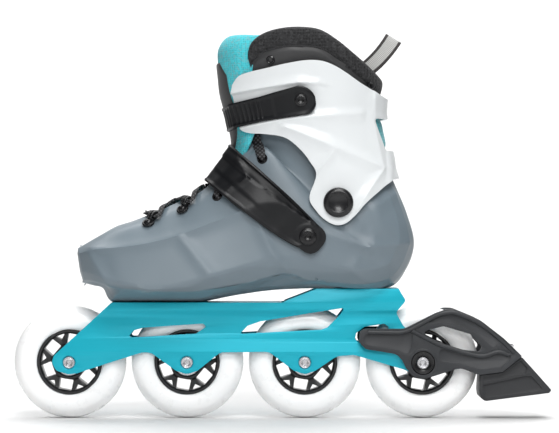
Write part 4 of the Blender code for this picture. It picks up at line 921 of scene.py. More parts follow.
def eyelets(tree, m):
    for row, (x, z) in enumerate(EYELETS, 1):
        for side, name in ((-1, "left"), (1, "right")):
            spot, normal = side_hit(tree, x, z, side)
            profile = [(2.5, -2.2), (3.0, 0.5), (3.5, 0.9), (4.0, 0.55), (4.25, -0.1), (3.1, -2.2)]
            rim = turned(f"eyelet_{name}_{row}", profile, (0, 0, 0), 40, bored=True, axis="Z")
            up = (Vector((0, 0, 1)) - normal * normal.z).normalized()
            finish_piece(placed(rim, spot, up, normal), m["gloss_black"], "hook_plastic", "boot")


def lace_hooks(tree, m):
    """Riveted discs, each with a double-ridged loop that stands towards the throat."""
    for row, (x, z) in enumerate(HOOKS, 1):
        for side, name in ((-1, "left"), (1, "right")):
            spot, normal = side_hit(tree, x, z, side)
            up = Vector((0.35, 0, 0.94))
            up = (up - normal * up.dot(normal)).normalized()
            disc = turned("disc", [(5.0, 0.1), (5.0, 1.0), (4.6, 1.5), (3.7, 1.6), (3.5, 1.3), (3.1, 2.4), (2.2, 3.2),
                                   (1.0, 3.5)], (0, 0, 0), 48, axis="Z")
            parts = [disc]
            for offset in (-1.35, 1.35):
                path = []
                for k in range(25):
                    a = radians(-62 + 304 * k / 24)
                    path.append(Vector((6.2 + 3.9 * cos(a), offset, 3.4 + 3.0 * sin(a))))
                parts.append(tube("loop", path, 2.4, 1.9, 12))
            parts.append(box("tab", (2.5, -2.3, 0.3), (7.5, 2.3, 1.5)))
            hook = bevelled(together(f"hook_{name}_{row}", parts), 0.25, 2, 40)
            placed(hook, spot + normal * 0.9, up, normal)
            finish_piece(hook, m["gloss_black"], "hook_plastic", "boot", f"lace_hook_{name}_{row}")


def throat_edge(rows, x):
    edge = [row[THROAT_RAIL] for row in rows[THROAT_STATION:]]
    return between([(p.x, p.y) for p in edge[:-3]], x), between([(p.x, p.z) for p in edge[:-3]], x)


def laces(tree, m):
    """One flat braided lace, from its ends under the cuff's flaps down through the eyelets and hooks."""
    rows = shell_half()

    def over(x, at, lift, width=5.6):
        half, z = throat_edge(rows, x)
        return Vector((x - 0.45 * lift, at * half, z + 0.9 * lift)), width

    def loop(row, at):
        spot, normal = side_hit(tree, *HOOKS[row], at)
        up = Vector((0.35, 0, 0.94))
        up = (up - normal * up.dot(normal)).normalized()
        centre = spot + normal * 4.7 + up * 6.2
        on = normal.cross(up) * at
        return [(centre + on * go + up * rise, wide) for go, rise, wide in
                ((-4.2, 3.0, 3.6), (-1.5, -0.3, 3.0), (1.5, -0.3, 3.0), (4.2, 3.0, 3.6))]

    def hole(row, at, lift, width=3.4):
        return side_hit(tree, *EYELETS[row], at)[0] + Vector((0, at * lift, 0)), width

    def outside(x, z, at, lift, width=6.6):
        spot, normal = side_hit(tree, x, z, at)
        return spot + normal * lift, width

    def under_cuff(x, z, at, width):
        spot = under_leg(x, z)
        return Vector((x, at * (spot.y + 2.0), z)), width

    def half_lace(s):
        cross = 1.8 if s > 0 else -2.2
        return ([over(-107, 0, 1.8), over(-106.5, s, 2.2)] + loop(0, s) + [over(-93, s, 2.4), over(-86, 0, cross)]
                + [over(-80, -s, 2.4)] + loop(1, -s) + [over(-67, -s, 2.4), over(-61, 0, cross)]
                + [over(-56, s * 0.85, -5.6), hole(0, s, -6), hole(0, s, 1.9, 4.2)]
                + [outside(-50, 187.5, s, 1.4), over(-48.5, s, 1.2), over(-45.5, s * 0.5, 0.9), over(-42, 0, cross * 0.6)]
                + [over(-36, -s * 0.85, -5.6), hole(1, -s, -6), hole(1, -s, 1.6, 4.4)]
                + [outside(-16.2, 211.5, -s, 1.5, 8.0), outside(-18.6, 217.5, -s, 1.7, 8.6)]
                + [under_cuff(-20.5, 224.0, -s, 8.6), under_cuff(-22.0, 231.0, -s, 8.0)])

    left, right = half_lace(-1), half_lace(1)
    route = left[::-1] + right[1:]
    steps = 6
    spots = [p for p, _ in route]
    widths = [w for _, w in route]
    count = (len(route) - 1) * steps + 1
    path = [through(spots, k / steps) for k in range(count)]
    wide = [between(list(enumerate(widths)), k / steps) for k in range(count)]
    points, faces = [], []
    sides = 12
    last = count - 1
    for i, p in enumerate(path):
        way = (path[min(i + 1, last)] - path[max(i - 1, 0)]).normalized()
        found = tree.find_nearest(p)
        out = (p - found[0]).normalized() if (p - found[0]).length > 0.8 else found[1]
        if out.dot(Vector((-0.3, p.y * 0.05, 1))) < 0:
            out = -out
        side = way.cross(out).normalized()
        up = side.cross(way).normalized()
        thick = 1.7 if wide[i] > 4.5 else 2.3
        for k in range(sides):
            a = 2 * pi * k / sides
            points.append(p + side * (cos(a) * wide[i] / 2) + up * (sin(a) * thick / 2))
    for i in range(last):
        for k in range(sides):
            a, b, n = i * sides, (i + 1) * sides, (k + 1) % sides
            faces.append((a + k, a + n, b + n, b + k))
    faces += [tuple(range(sides)), tuple(range(last * sides, (last + 1) * sides))]
    made = outward(mesh_object("braided_lace", points, faces, 60))
    finish_piece(made, m["lace"], "lace_cord", "boot", "laces")


CUFF_COLUMNS = [
    ((95.0, 192.0), (83.5, 255.5)), ((91.5, 192.0), (83.2, 255.4)), ((84.0, 187.5), (82.0, 255.2)),
    ((75.0, 180.0), (80.5, 255.8)), ((65.6, 171.5), (78.5, 256.8)), ((57.0, 161.5), (76.0, 258.2)),
    ((51.0, 156.6), (73.0, 260.0)), ((43.5, 154.8), (69.5, 262.0)), ((35.5, 158.0), (65.5, 264.3)),
    ((28.0, 165.0), (61.0, 267.0)), ((22.0, 176.5), (56.0, 270.5)), ((27.3, 194.0), (49.5, 275.0)),
    ((23.0, 203.5), (42.0, 279.5)), ((14.5, 214.5), (32.5, 283.2)), ((2.7, 223.6), (20.0, 284.0)),
    ((-13.0, 226.5), (4.0, 281.6)), ((-25.0, 227.5), (-12.0, 278.0)), ((-31.3, 231.0), (-25.0, 275.2)),
    ((-35.0, 241.0), (-33.5, 272.0)), ((-37.6, 251.0), (-38.3, 265.5)),
]
CHANNEL_TOP = [(-45, 258.2), (-39, 259.1), (14.1, 267.1), (27, 266.5), (60, 260)]
CHANNEL_LOW = [(-40, 230), (-30.1, 231.8), (-0.4, 237.4), (26.9, 240.6), (61.5, 242.2)]
CUFF_LINES = [
    (1.6, 8, [(-39, 259.1), (14.1, 267.1), (26.9, 264.7)]),
    (1.8, 8, [(-30.1, 231.8), (-0.4, 237.4), (26.9, 240.6), (61.5, 242.2)]),
    (2.1, 9, [(1.2, 232.6), (12.5, 228.5), (43, 215.7), (79.2, 198.8)]),
    (1.9, 8, [(43, 215.7), (29.3, 197.2)]),
    (2.1, 9, [(79.2, 198.8), (59.1, 166.7)]),
    (1.6, 7, [(71.1, 255.1), (70.3, 240.6), (79.2, 198.8)]),
]


def cuff_height(p):
    x, z = p.x, p.z
    top, low = between(CHANNEL_TOP, x), between(CHANNEL_LOW, x)
    channel = ease((top - z) / 2.2) * ease((z - low) / 2.6) * (1 - ease((x - 27) / 16))
    height = 1.3 * (1 - channel)
    height += 1.0 * ease((x - 70.5) / 1.6) * ease((z - 238) / 1.5)
    height += 0.4 * ease((x - 82) / 1.6) * ease((215 - z) / 1.5) - 2.0 * ease((x - 85) / 7) * ease((212 - z) / 14)
    near_pivot = hypot(x - PIVOT_X, z - PIVOT_Z)
    return height * ease((near_pivot - 10) / 16) + ridges(CUFF_LINES, x, z) * (1 - ease((x - 79) / 5))


def leg_sheet(columns, rows, steps, out):
    """A sheet on the leg form between smooth lower and upper edges; columns run from the back to the front."""
    lows = [Vector((leg_phi(*low), low[1])) for low, _ in columns]
    highs = [Vector((leg_phi(*high), high[1])) for _, high in columns]
    lows[0].x = highs[0].x = 0
    half = []
    for k in range((len(columns) - 1) * steps + 1):
        half.append((through(lows, k / steps), through(highs, k / steps)))
    mirror = [(Vector((-a.x, a.y)), Vector((-b.x, b.y))) for a, b in half[1:]]
    points, faces = [], []
    sheet = mirror[::-1] + half
    for low, high in sheet:
        for r in range(rows + 1):
            phi, z = low.lerp(high, r / rows)
            points.append(leg_point(phi, z, out))
    for k in range(len(sheet) - 1):
        for r in range(rows):
            a, b = k * (rows + 1) + r, (k + 1) * (rows + 1) + r
            faces.append((a, b, b + 1, a + 1))
    return points, facing_out(points, faces, Vector((25, 0, 220)))


def cuff(m):
    points, faces = leg_sheet(CUFF_COLUMNS, 60, 8, 0.0)
    made = raised(points, faces, cuff_height)
    body = walled("cuff_body", made, faces, CUFF_WALL, 0)
    outline = rounded([(-26, 213.6), (26, 213.6), (33.5, 239), (-33.5, 239)], 3.0, 5)
    window = prism("window", outline, 55, 120)
    window.data.transform(Matrix.Rotation(radians(-90), 4, "Z"))
    window.data.transform(Matrix.Scale(1, 4))
    boolean(body, outward(window))
    way = [turned("pivot_way", [(5.0, -80), (5.0, 80)], (PIVOT_X, 0, PIVOT_Z), 40)]
    boolean(body, together("ways", way))
    finish_piece(bevelled(body, 0.75, 3, 50), m["cuff"], "cuff_plastic", "cuff", "cuff")
    for side, name in ((-1, "left"), (1, "right")):
        face = PIVOT_FACE
        dome = [(7.4, face + 2.9), (7.6, face + 3.4), (9.0, face + 3.5), (10.6, face + 2.9), (11.6, face + 1.7),
                (11.8, face + 0.6), (11.8, face), (4.0, face), (4.0, 37.8)]
        flat = [(PIVOT_X + 7.6 * cos(2 * pi * (k + 0.5) / 10), PIVOT_Z + 7.6 * sin(2 * pi * (k + 0.5) / 10)) for k in range(10)]
        cap = turned(f"pivot_cap_{name}", [(r, side * y) for r, y in dome], (PIVOT_X, 0, PIVOT_Z), 72)
        boolean(cap, prism("flat", flat, side * (face + 2.3), side * (face + 8)))
        finish_piece(bevelled(cap, 0.25, 2, 30), m["gloss_black"], "pivot_plastic", "boot", f"cuff_pivot_{name}")


# ---------------------------------------------------------------- soft parts

def edge_fall(t, width):
    """0 at the ends of 0..1, rising like a quarter circle over a width to 1."""
    e = min(min(t, 1 - t) / width, 1.0)
    return sqrt(max(1 - (1 - e) ** 2, 0.0))


def spread(count, pull=0.35):
    """Even steps from 0 to 1, drawn together towards both ends."""
    return [t * (1 - pull) + pull * (0.5 - 0.5 * cos(pi * t)) for t in (k / count for k in range(count + 1))]


def pillow(name, sheet, thick, u_steps, v_steps, inside):
    """A closed padded form round a middle sheet: sheet(u, v) is a point and thick(u, v) the half thickness,
    which is 0 all round the border. Also returns each point's (u, v, layer)."""
    us, vs = spread(u_steps), spread(v_steps)
    middle = [[sheet(u, v) for v in vs] for u in us]
    points, place, top, low = [], [], {}, {}

    def normal(i, j):
        a = middle[min(i + 1, u_steps)][j] - middle[max(i - 1, 0)][j]
        b = middle[i][min(j + 1, v_steps)] - middle[i][max(j - 1, 0)]
        n = a.cross(b).normalized()
        return n if n.dot(middle[i][j] - inside) > 0 else -n

    for i, u in enumerate(us):
        for j, v in enumerate(vs):
            border = i in (0, u_steps) or j in (0, v_steps)
            n = normal(i, j)
            h = 0 if border else thick(u, v)
            top[i, j] = low[i, j] = len(points)
            points.append(middle[i][j] + n * h)
            place.append((u, v, 0 if border else 1))
            if not border:
                low[i, j] = len(points)
                points.append(middle[i][j] - n * h)
                place.append((u, v, -1))
    faces, zones = [], []
    for i in range(u_steps):
        for j in range(v_steps):
            for layer, back in ((top, False), (low, True)):
                face = [layer[i, j], layer[i + 1, j], layer[i + 1, j + 1], layer[i, j + 1]]
                faces.append(tuple(reversed(face)) if back else tuple(face))
                zones.append(((us[i] + us[i + 1]) / 2, (vs[j] + vs[j + 1]) / 2, -1 if back else 1))
    return outward(mesh_object(name, points, faces, 75)), place, zones


def puffed(obj, held, most, pressure=4.0):
    """The form blown up a little as stuffed fabric by cloth simulation: held(index) is how firmly each point stays,
    and no point moves further than most, in mm. Then smoothed by one subdivision."""
    start = [v.co.copy() for v in obj.data.vertices]
    pins = obj.vertex_groups.new(name="held")
    for k in range(len(start)):
        pins.add([k], held(k), "REPLACE")
    bpy.context.view_layer.objects.active = obj
    cloth = obj.modifiers.new("Cloth", "CLOTH")
    settings = cloth.settings
    settings.quality = 5
    settings.mass = 0.15
    settings.tension_stiffness = settings.compression_stiffness = 12
    settings.shear_stiffness = 4
    settings.bending_stiffness = 0.4
    settings.use_pressure = True
    settings.uniform_pressure_force = pressure
    settings.effector_weights.gravity = 0
    settings.vertex_group_mass = "held"
    cloth.collision_settings.use_collision = False
    cloth.point_cache.frame_start, cloth.point_cache.frame_end = 1, 20
    for frame_number in range(1, 21):
        bpy.context.scene.frame_set(frame_number)
    graph = bpy.context.evaluated_depsgraph_get()
    blown = obj.evaluated_get(graph).to_mesh()
    moved = [v.co.copy() for v in blown.vertices]
    obj.evaluated_get(graph).to_mesh_clear()
    obj.modifiers.clear()
    obj.vertex_groups.clear()
    bpy.context.scene.frame_set(1)
    for v, a, b in zip(obj.data.vertices, start, moved):
        go = b - a
        if go.length > most * MM:
            go *= most * MM / go.length
        v.co = a + go * (1 - held(v.index))
    fine = obj.modifiers.new("Smooth", "SUBSURF")
    fine.levels = fine.render_levels = 1
    return applied(obj)


def zone_materials(obj, zones, choose):
    """Each face's material index from its place, before subdivision."""
    for polygon, zone in zip(obj.data.polygons, zones):
        polygon.material_index = choose(*zone)


COLLAR_TOP = [(79, 272), (77, 274.5), (70, 281), (58, 291), (45, 301), (32, 308.5), (17, 311.0), (0, 310.3), (-15, 306.5),
              (-25, 299.5), (-28.2, 290)]
CUFF_TOP = [(-60, 265), (-38.3, 265.5), (-26.2, 275), (-6.1, 279.5), (14, 283.5), (24.1, 284), (34.2, 282.4),
            (44.3, 277.5), (59.4, 266.4), (74.4, 257.4), (84, 253.8)]
SEAM_DEPTH = 15.5


def collar_sheet(u, v):
    """The collar's middle layer: u runs round from the right front edge to the left, v from the bottom to the rim."""
    turn = (u * 2 - 1) * (len(COLLAR_TOP) - 1)
    side = 1 if turn >= 0 else -1
    tops = [Vector((0 if k == 0 else leg_phi(x, z, -4.2), z)) for k, (x, z) in enumerate(COLLAR_TOP)]
    phi, top = through(tops, abs(turn))
    low = between([(38, 213.5), (60, 219.0), (70, 219.0), (105, 242.0)], phi)
    z = low + (top - low) * v
    x = leg_point(phi, z, -4.2).x
    above = ease((z - between(CUFF_TOP, x)) / 12)
    deep = between([(37, -8.9), (58, -17.2)], phi)
    out = between([(240, deep), (253, -9.4)], z) + 2.4 * above
    out -= 1.5 * ease((phi - 118) / 16)
    out += 1.4 * ease((34 - phi) / 10) * ease((z - 215) / 6) * ease((239 - z) / 6)
    return leg_point(phi * side, z, out)


def liner(m):
    """The collar is one padded form in panels: a mesh band round the rim, a smooth panel under it and a
    coloured one at the heel."""
    def seam(u, v):
        p = collar_sheet(u, v)
        turn = (u * 2 - 1) * (len(COLLAR_TOP) - 1)
        top = through([Vector((0, z)) for _, z in COLLAR_TOP], abs(turn)).y
        return top - p.z, p

    def thick(u, v):
        down, p = seam(u, v)
        groove = exp(-((down - SEAM_DEPTH) / 1.3) ** 2)
        return 4.6 * edge_fall(u, 0.03) * edge_fall(v, 0.085) * (1 - 0.5 * groove)

    obj, place, zones = pillow("liner_cuff", collar_sheet, thick, 120, 44, Vector((25, 0, 260)))
    free = []
    for u, v, layer in place:
        down, p = seam(u, v)
        over = p.z - between(CUFF_TOP, p.x)
        hold = 1 - ease((over - 1.5) / 5) if layer > 0 else 1 - ease((p.z - 262) / 12)
        hold = max(hold, exp(-((down - SEAM_DEPTH) / 1.6) ** 2))
        free.append(min(max(hold, 0.0), 1.0))

    def choose(u, v, layer):
        down, p = seam(u, v)
        if layer > 0 and p.x > 60 and p.z < 246:
            return 2
        return 0 if down < SEAM_DEPTH or layer < 0 else 1

    zone_materials(obj, zones, choose)
    puffed(obj, lambda k: free[k], 1.6)
    finish_piece(obj, [m["black_mesh"], m["black_skin"], m["window_mesh"]], "liner_fabric", None, "liner_collar")
    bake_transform(obj)

    stitches(m, seam)
    for x, z, name in ((-9, 284.5, "front"), (70.5, 264.5, "rear")):
        for side, word in ((-1, "left"), (1, "right")):
            phi = leg_phi(x, z, -2.5)
            spot = leg_point(-side * phi, z, -3.4 if name == "front" else -3.0)
            ahead = leg_point(-side * (phi - 4), z, -3.4)
            above = leg_point(-side * phi, z + 3, -3.4)
            normal = (ahead - spot).cross(above - spot).normalized()
            normal = normal if normal.dot(Vector((0, side, 0))) > 0 else -normal
            profile = [(1.5, -1.0), (1.8, 1.1), (2.5, 1.6), (3.3, 1.1), (3.6, 0.0), (3.4, -1.0)]
            rim = turned(f"collar_eyelet_{name}_{word}", profile, (0, 0, 0), 32, bored=True, axis="Z")
            up = (Vector((0, 0, 1)) - normal * normal.z).normalized()
            finish_piece(placed(rim, spot, up, normal), m["gloss_black"], "liner_fabric", "cuff")

    foot = finer("liner_foot", "liner_boot", 0.8, 2)
    fine = foot.modifiers.new("Smooth", "SUBSURF")
    fine.levels = fine.render_levels = 1
    applied(foot)
    finish_piece(foot, m["felt"], "liner_fabric", "boot", "liner_foot")
    bed = finer("footbed", "insole", 0.9, 3)
    finish_piece(bed, m["insole"], "footbed_fabric", "boot", "footbed")


def stitches(m, seam):
    """A piping cord along the collar's seam, with short stitches above it."""
    path = []
    for k in range(161):
        u = 0.012 + 0.976 * k / 160
        low, high = 0.3, 1.0
        for _ in range(24):
            v = (low + high) / 2
            low, high = (v, high) if seam(u, v)[0] > SEAM_DEPTH else (low, v)
        p = collar_sheet(u, low)
        away = (p - Vector((22, 0, p.z))).normalized()
        path.append(p + away * 3.1)
    cord = tube("collar_piping", path, 1.5, 1.3, 8)
    finish_piece(cord, m["thread"], "liner_fabric", "cuff")
    parts = []
    for k in range(1, 160):
        a, b = path[k], path[k].lerp(path[k + 1], 0.62)
        lift = Vector((0, 0, 2.6)) - (a - Vector((22, 0, a.z))).normalized() * 0.5
        parts.append(tube("stitch", [a + lift, (a + b) / 2 + lift * 1.04, b + lift], 0.7, 0.7, 6))
    finish_piece(together("collar_stitches", parts), m["thread"], "liner_fabric", "cuff")


# The tongue's middle line: x, z, half width, bend depth and the half width where the bend would close
TONGUE_LINE = [
    (-97, 160.0, 11, 8, 30), (-82, 164.8, 15, 9, 34), (-68, 170.0, 18, 10, 36), (-56, 178.0, 20, 11, 36),
    (-46, 191.0, 23, 14, 36), (-39.5, 206.0, 27, 22, 38), (-37.0, 219.0, 31, 38, 42), (-38.4, 231.0, 34, 55, 44),
    (-42.6, 247.0, 36, 68, 45), (-45.6, 260.0, 37, 70, 45.5), (-46.6, 273.0, 37, 70, 45.5), (-46.9, 284.0, 37, 70, 45.5),
    (-46.2, 293.5, 36.5, 70, 45.5), (-42.0, 300.5, 35.5, 70, 45.5), (-34.5, 303.0, 34, 66, 45.5),
]


def tongue_sheet(u, v):
    row = through([Vector(line[:2]) for line in TONGUE_LINE], v * (len(TONGUE_LINE) - 1))
    t = v * (len(TONGUE_LINE) - 1)
    half, depth, close = (through([Vector((line[k], 0)) for line in TONGUE_LINE], t).x for k in (2, 3, 4))
    ahead = through([Vector(line[:2]) for line in TONGUE_LINE], min(t + 0.02, len(TONGUE_LINE) - 1.000001))
    behind = through([Vector(line[:2]) for line in TONGUE_LINE], max(t - 0.02, 0))
    way = (ahead - behind).normalized()
    inward = Vector((way.y, 0, -way.x)).lerp(Vector((1, 0, 0)), ease((row.y - 215) / 40)).normalized()
    s = u * 2 - 1
    y = half * s
    fall = depth * (1 - sqrt(1 - (y / close) ** 2))
    tuck = 16 * ease((abs(s) - 0.72) / 0.22) * ease((row.y - 225) / 20)
    p = Vector((row.x, y, row.y)) + inward * (fall + tuck)
    if v > 0.85:
        p.z -= 2.0 * abs(s) ** 3 * (v - 0.85) / 0.15
    return p


def tongue(m):
    def thick(u, v):
        t = v * (len(TONGUE_LINE) - 1)
        full = between([(0, 2.2), (4, 2.3), (6, 2.4), (8, 2.5), (10, 3.4), (12, 5.0), (14, 4.6)], t)
        return full * edge_fall(u, 0.07) * edge_fall(v, 0.06)

    obj, place, zones = pillow("tongue_pad", tongue_sheet, thick, 60, 110, Vector((25, 0, 215)))
    free = []
    for u, v, layer in place:
        z = tongue_sheet(u, v).z
        hold = max(1 - ease((z - 262) / 25), exp(-((abs(u - 0.5) - 0.27) / 0.025) ** 2) * (v < 0.9))
        free.append(min(hold if layer else 1.0, 1.0))
    zone_materials(obj, zones, lambda u, v, layer: 0)
    puffed(obj, lambda k: free[k], 2.2)
    finish_piece(obj, m["teal_mesh"], "tongue_fabric", None, "tongue_upper", "tongue_lower")
    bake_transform(obj)

    def shield(u, v):
        """The stiff facing stitched on the tongue's front."""
        t = 3.4 + v * 7.6
        s = 0.5 + (u - 0.5) * between([(0, 0.5), (0.3, 0.56), (0.62, 0.62), (0.88, 0.55), (1, 0.3)], v)
        p = tongue_sheet(s, t / (len(TONGUE_LINE) - 1))
        near = tongue_sheet(s, min(t / (len(TONGUE_LINE) - 1) + 0.01, 1))
        way = (near - p).normalized()
        out = Vector((-way.z, 0, way.x))
        full = between([(0, 2.2), (4, 2.3), (6, 2.4), (8, 2.5), (10, 3.4), (12, 5.0), (14, 4.6)], t)
        return p + out * (full + 0.4)

    facing, _, _ = pillow("tongue_facing", shield, lambda u, v: 1.0 * edge_fall(u, 0.08) * edge_fall(v, 0.03), 24, 70,
                          Vector((25, 0, 215)))
    finish_piece(facing, m["black_skin"], "tongue_fabric", None)
    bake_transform(facing)


def pull_loop(m):
    """A striped webbing loop, wider at its fold, sewn behind the collar."""
    foot, bend, top = Vector((66.4, 0, 278.2)), Vector((80.5, 0, 288.5)), Vector((90.2, 0, 304.6))
    count = 40
    legs = [(0.0, 11.5), (0.3, 10.0), (0.6, 7.6), (0.85, 4.6), (0.96, 2.2), (1.0, 0.0)]
    line = [(through([Vector(q) for q in legs], 5 * k / count)) for k in range(count + 1)]
    line += [Vector((q.x, -q.y)) for q in reversed(line[:-1])]
    across_count = 12
    points, faces = [], []
    for t, y in line:
        centre = foot * (1 - t) ** 2 + bend * 2 * t * (1 - t) + top * t * t
        way = ((bend - foot) * (1 - t) + (top - bend) * t).normalized()
        across = Vector((way.z, 0, -way.x)) * (6.4 + 0.8 * t)
        for k in range(across_count + 1):
            s = 2 * k / across_count - 1
            points.append(centre + Vector((0, y, 0)) + across * s)
    for i in range(len(line) - 1):
        for k in range(across_count):
            a = i * (across_count + 1) + k
            b = a + across_count + 1
            faces.append((a, a + 1, b + 1, b))
    faces = facing_out(points, faces, (foot + top) / 2)
    strip = mesh_object("webbing_loop", points, faces, 60)
    for number, polygon in enumerate(strip.data.polygons):
        k = number % across_count
        polygon.material_index = 1 if k < 2 or k >= across_count - 2 else 0
    solid = strip.modifiers.new("Wall", "SOLIDIFY")
    solid.thickness = 1.2 * MM
    solid.offset = -1
    applied(strip)
    finish_piece(bevelled(strip, 0.25, 2, 60), [m["webbing"], m["webbing_edge"]], "loop_webbing", "cuff", "pull_loop")


# ---------------------------------------------------------------- straps and buckles

def strap_body(name, columns, relief, inside, wall=STRAP_THICK):
    """A strap from columns of outer points; relief(i, j) is how far each point stands out, in mm."""
    count = len(columns[0])
    points = [p for column in columns for p in column]
    faces = []
    for i in range(len(columns) - 1):
        for k in range(count - 1):
            a, b = i * count + k, (i + 1) * count + k
            faces.append((a, b, b + 1, a + 1))
    faces = facing_out(points, faces, inside)
    mesh = bpy.data.meshes.new("strap")
    mesh.from_pydata(points, [], faces)
    mesh.update()
    inner = [v.co - v.normal * wall for v in mesh.vertices]
    outer = [v.co + v.normal * relief(v.index // count, v.index % count) for v in mesh.vertices]
    bpy.data.meshes.remove(mesh)
    shift = len(points)
    made = list(faces) + [tuple(reversed([k + shift for k in face])) for face in faces]
    last = len(columns) - 1
    border = [i * count for i in range(last)] + [last * count + k for k in range(count - 1)]
    border += [i * count + count - 1 for i in range(last, 0, -1)] + [k for k in range(count - 1, 0, -1)]
    for k, a in enumerate(border):
        b = border[(k + 1) % len(border)]
        made.append((a, b, b + shift, a + shift))
    return outward(mesh_object(name, outer + inner, made, 50))


def top_strap_centre(x):
    return between([(-46.0, 238.7), (TOP_SCREW_X, TOP_SCREW_Z)], x)


def top_strap(m):
    """The ladder strap: ribs inside a raised frame over the front, and a plain dished part round its screw."""
    xs = []
    x = 26.6
    while x > -46:
        xs.append((x, 1))
        x -= 0.5 if x > 22 or x < -13.5 else 1.0
    xs += [(x, 1) for x in (-48, -52, -56)] + [(-60, 1)] + [(x, -1) for x in (-56, -52, -48)]
    x = -46
    while x < 18.5:
        xs.append((x, -1))
        x += 0.5
    count = 23
    columns, spots = [], []
    for x, sign in xs:
        centre = top_strap_centre(x)
        beyond = min(max(x - TOP_SCREW_X, 0.0) / 11.9, 0.995) * (sign > 0)
        wide = 11.6 if sign > 0 else 9.4
        half = between([(-46.0, 9.3), (-15.0, 9.4), (TOP_SCREW_X, wide)], x) * sqrt(max(1 - beyond ** 2, 0.0))
        phi = 180.0 if x <= -59 else leg_phi(max(x, -58.9), centre)
        cuffed = between([(-46.0, 0.0), (-36.5, 1.0)], x)
        out = STRAP_THICK + between([(0, -4.0), (1, 0.9)], cuffed)
        if x < -46:
            phi = between([(-60, 180.0), (-46, leg_phi(-46, centre))], x)
        columns.append([leg_point(sign * phi, centre + half * (2 * k / (count - 1) - 1), out) for k in range(count)])
        spots.append((x, sign, half))

    def relief(i, j):
        x, sign, half = spots[i]
        v = half * (2 * j / (count - 1) - 1)
        inset = half - abs(v)
        height = 0.45 * (ease(inset / 0.5) - ease((inset - 1.6) / 0.7))
        ladder = sign < 0 or x < -12.5
        if ladder and x > -58:
            along = (x + 60) / 3.1
            rib = max(0.0, 1 - abs((along % 1) - 0.5) / 0.32)
            height += (1.0 * ease(rib) - 0.55) * ease((inset - 2.2) / 0.6)
        elif sign > 0:
            edge = hypot(x - TOP_SCREW_X, v)
            dish = 1 - ease((edge - 7.2) / 0.8) if x > TOP_SCREW_X - 3 else 0
            height -= 0.55 * ease((inset - 2.2) / 0.8) * (1 - ease((x + 9) / 2.0) * 0) * ease((-9 + 3 - x) / -2)
            height += 0.2 * dish
        return height

    strap = strap_body("ankle_strap", columns, relief, Vector((20, 0, 245)))
    boolean(strap, turned("way", [(2.9, -80), (2.9, 0)], (TOP_SCREW_X, 0, TOP_SCREW_Z), 32))
    finish_piece(bevelled(strap, 0.35, 2, 50), m["strap"], "strap_plastic", "cuff", "top_strap")
    surface = abs(leg_point(leg_phi(TOP_SCREW_X, TOP_SCREW_Z), TOP_SCREW_Z, 0).y)
    face = -surface - 0.9 - STRAP_THICK - 0.1
    cap_screw("strap_screw_top", (TOP_SCREW_X, 0, TOP_SCREW_Z), face, 5.0, m["gloss_black"], "cuff", "top_strap_screw", 1.9)


def cap_screw(name, at, face, radius, material, body, node, rise=1.8):
    """A screw with a round bevelled head and a six-sided socket."""
    profile = [(2.0, face - rise + 1.2), (2.3, face - rise), (radius - 0.9, face - rise), (radius - 0.2, face - rise + 0.5),
               (radius, face - rise + 1.1), (radius, face), (2.5, face), (2.5, face + 7.2)]
    screw = turned(name, profile, at, 64)
    outline = [(at[0] + 2.4 * cos(pi * k / 3 + 0.3), at[2] + 2.4 * sin(pi * k / 3 + 0.3)) for k in range(6)]
    boolean(screw, prism("socket", outline, face - rise - 3, face - rise + 2.2))
    finish_piece(bevelled(screw, 0.15, 2, 40), material, "screw_steel", body, node)


def taut_section(tree, origin, along):
    """Points round the boot in one plane across the strap, as the taut strap lies: the section's convex hull."""
    hits = []
    for degree in range(-40, 221):
        way = Vector((0, -cos(radians(degree)), 0)) + along * sin(radians(degree))
        found = tree.ray_cast(origin + way * 400, -way)[0]
        if found is None or (found - origin).dot(way) < 5:
            continue
        flat = found - origin
        hits.append(Vector((-flat.y, flat.dot(along))))
    return [hits[k] for k in convex_hull_2d(hits)]


def on_hull(hull, degree):
    way = Vector((cos(radians(degree)), sin(radians(degree))))
    best = 0.0
    for k, a in enumerate(hull):
        side = hull[(k + 1) % len(hull)] - a
        cross = way.x * side.y - way.y * side.x
        if abs(cross) < 1e-9:
            continue
        distance = (a.x * side.y - a.y * side.x) / cross
        share = (a.x * way.y - a.y * way.x) / cross
        if distance > 0 and -1e-6 <= share <= 1 + 1e-6:
            best = max(best, distance)
    return way * best


STRAP_ALONG = Vector((-70.6, 0, 59.3)).normalized()
STRAP_ACROSS = Vector((STRAP_ALONG.z, 0, -STRAP_ALONG.x))
STRAP_ORIGIN = Vector((STRAP_SCREW_X, 0, STRAP_SCREW_Z))


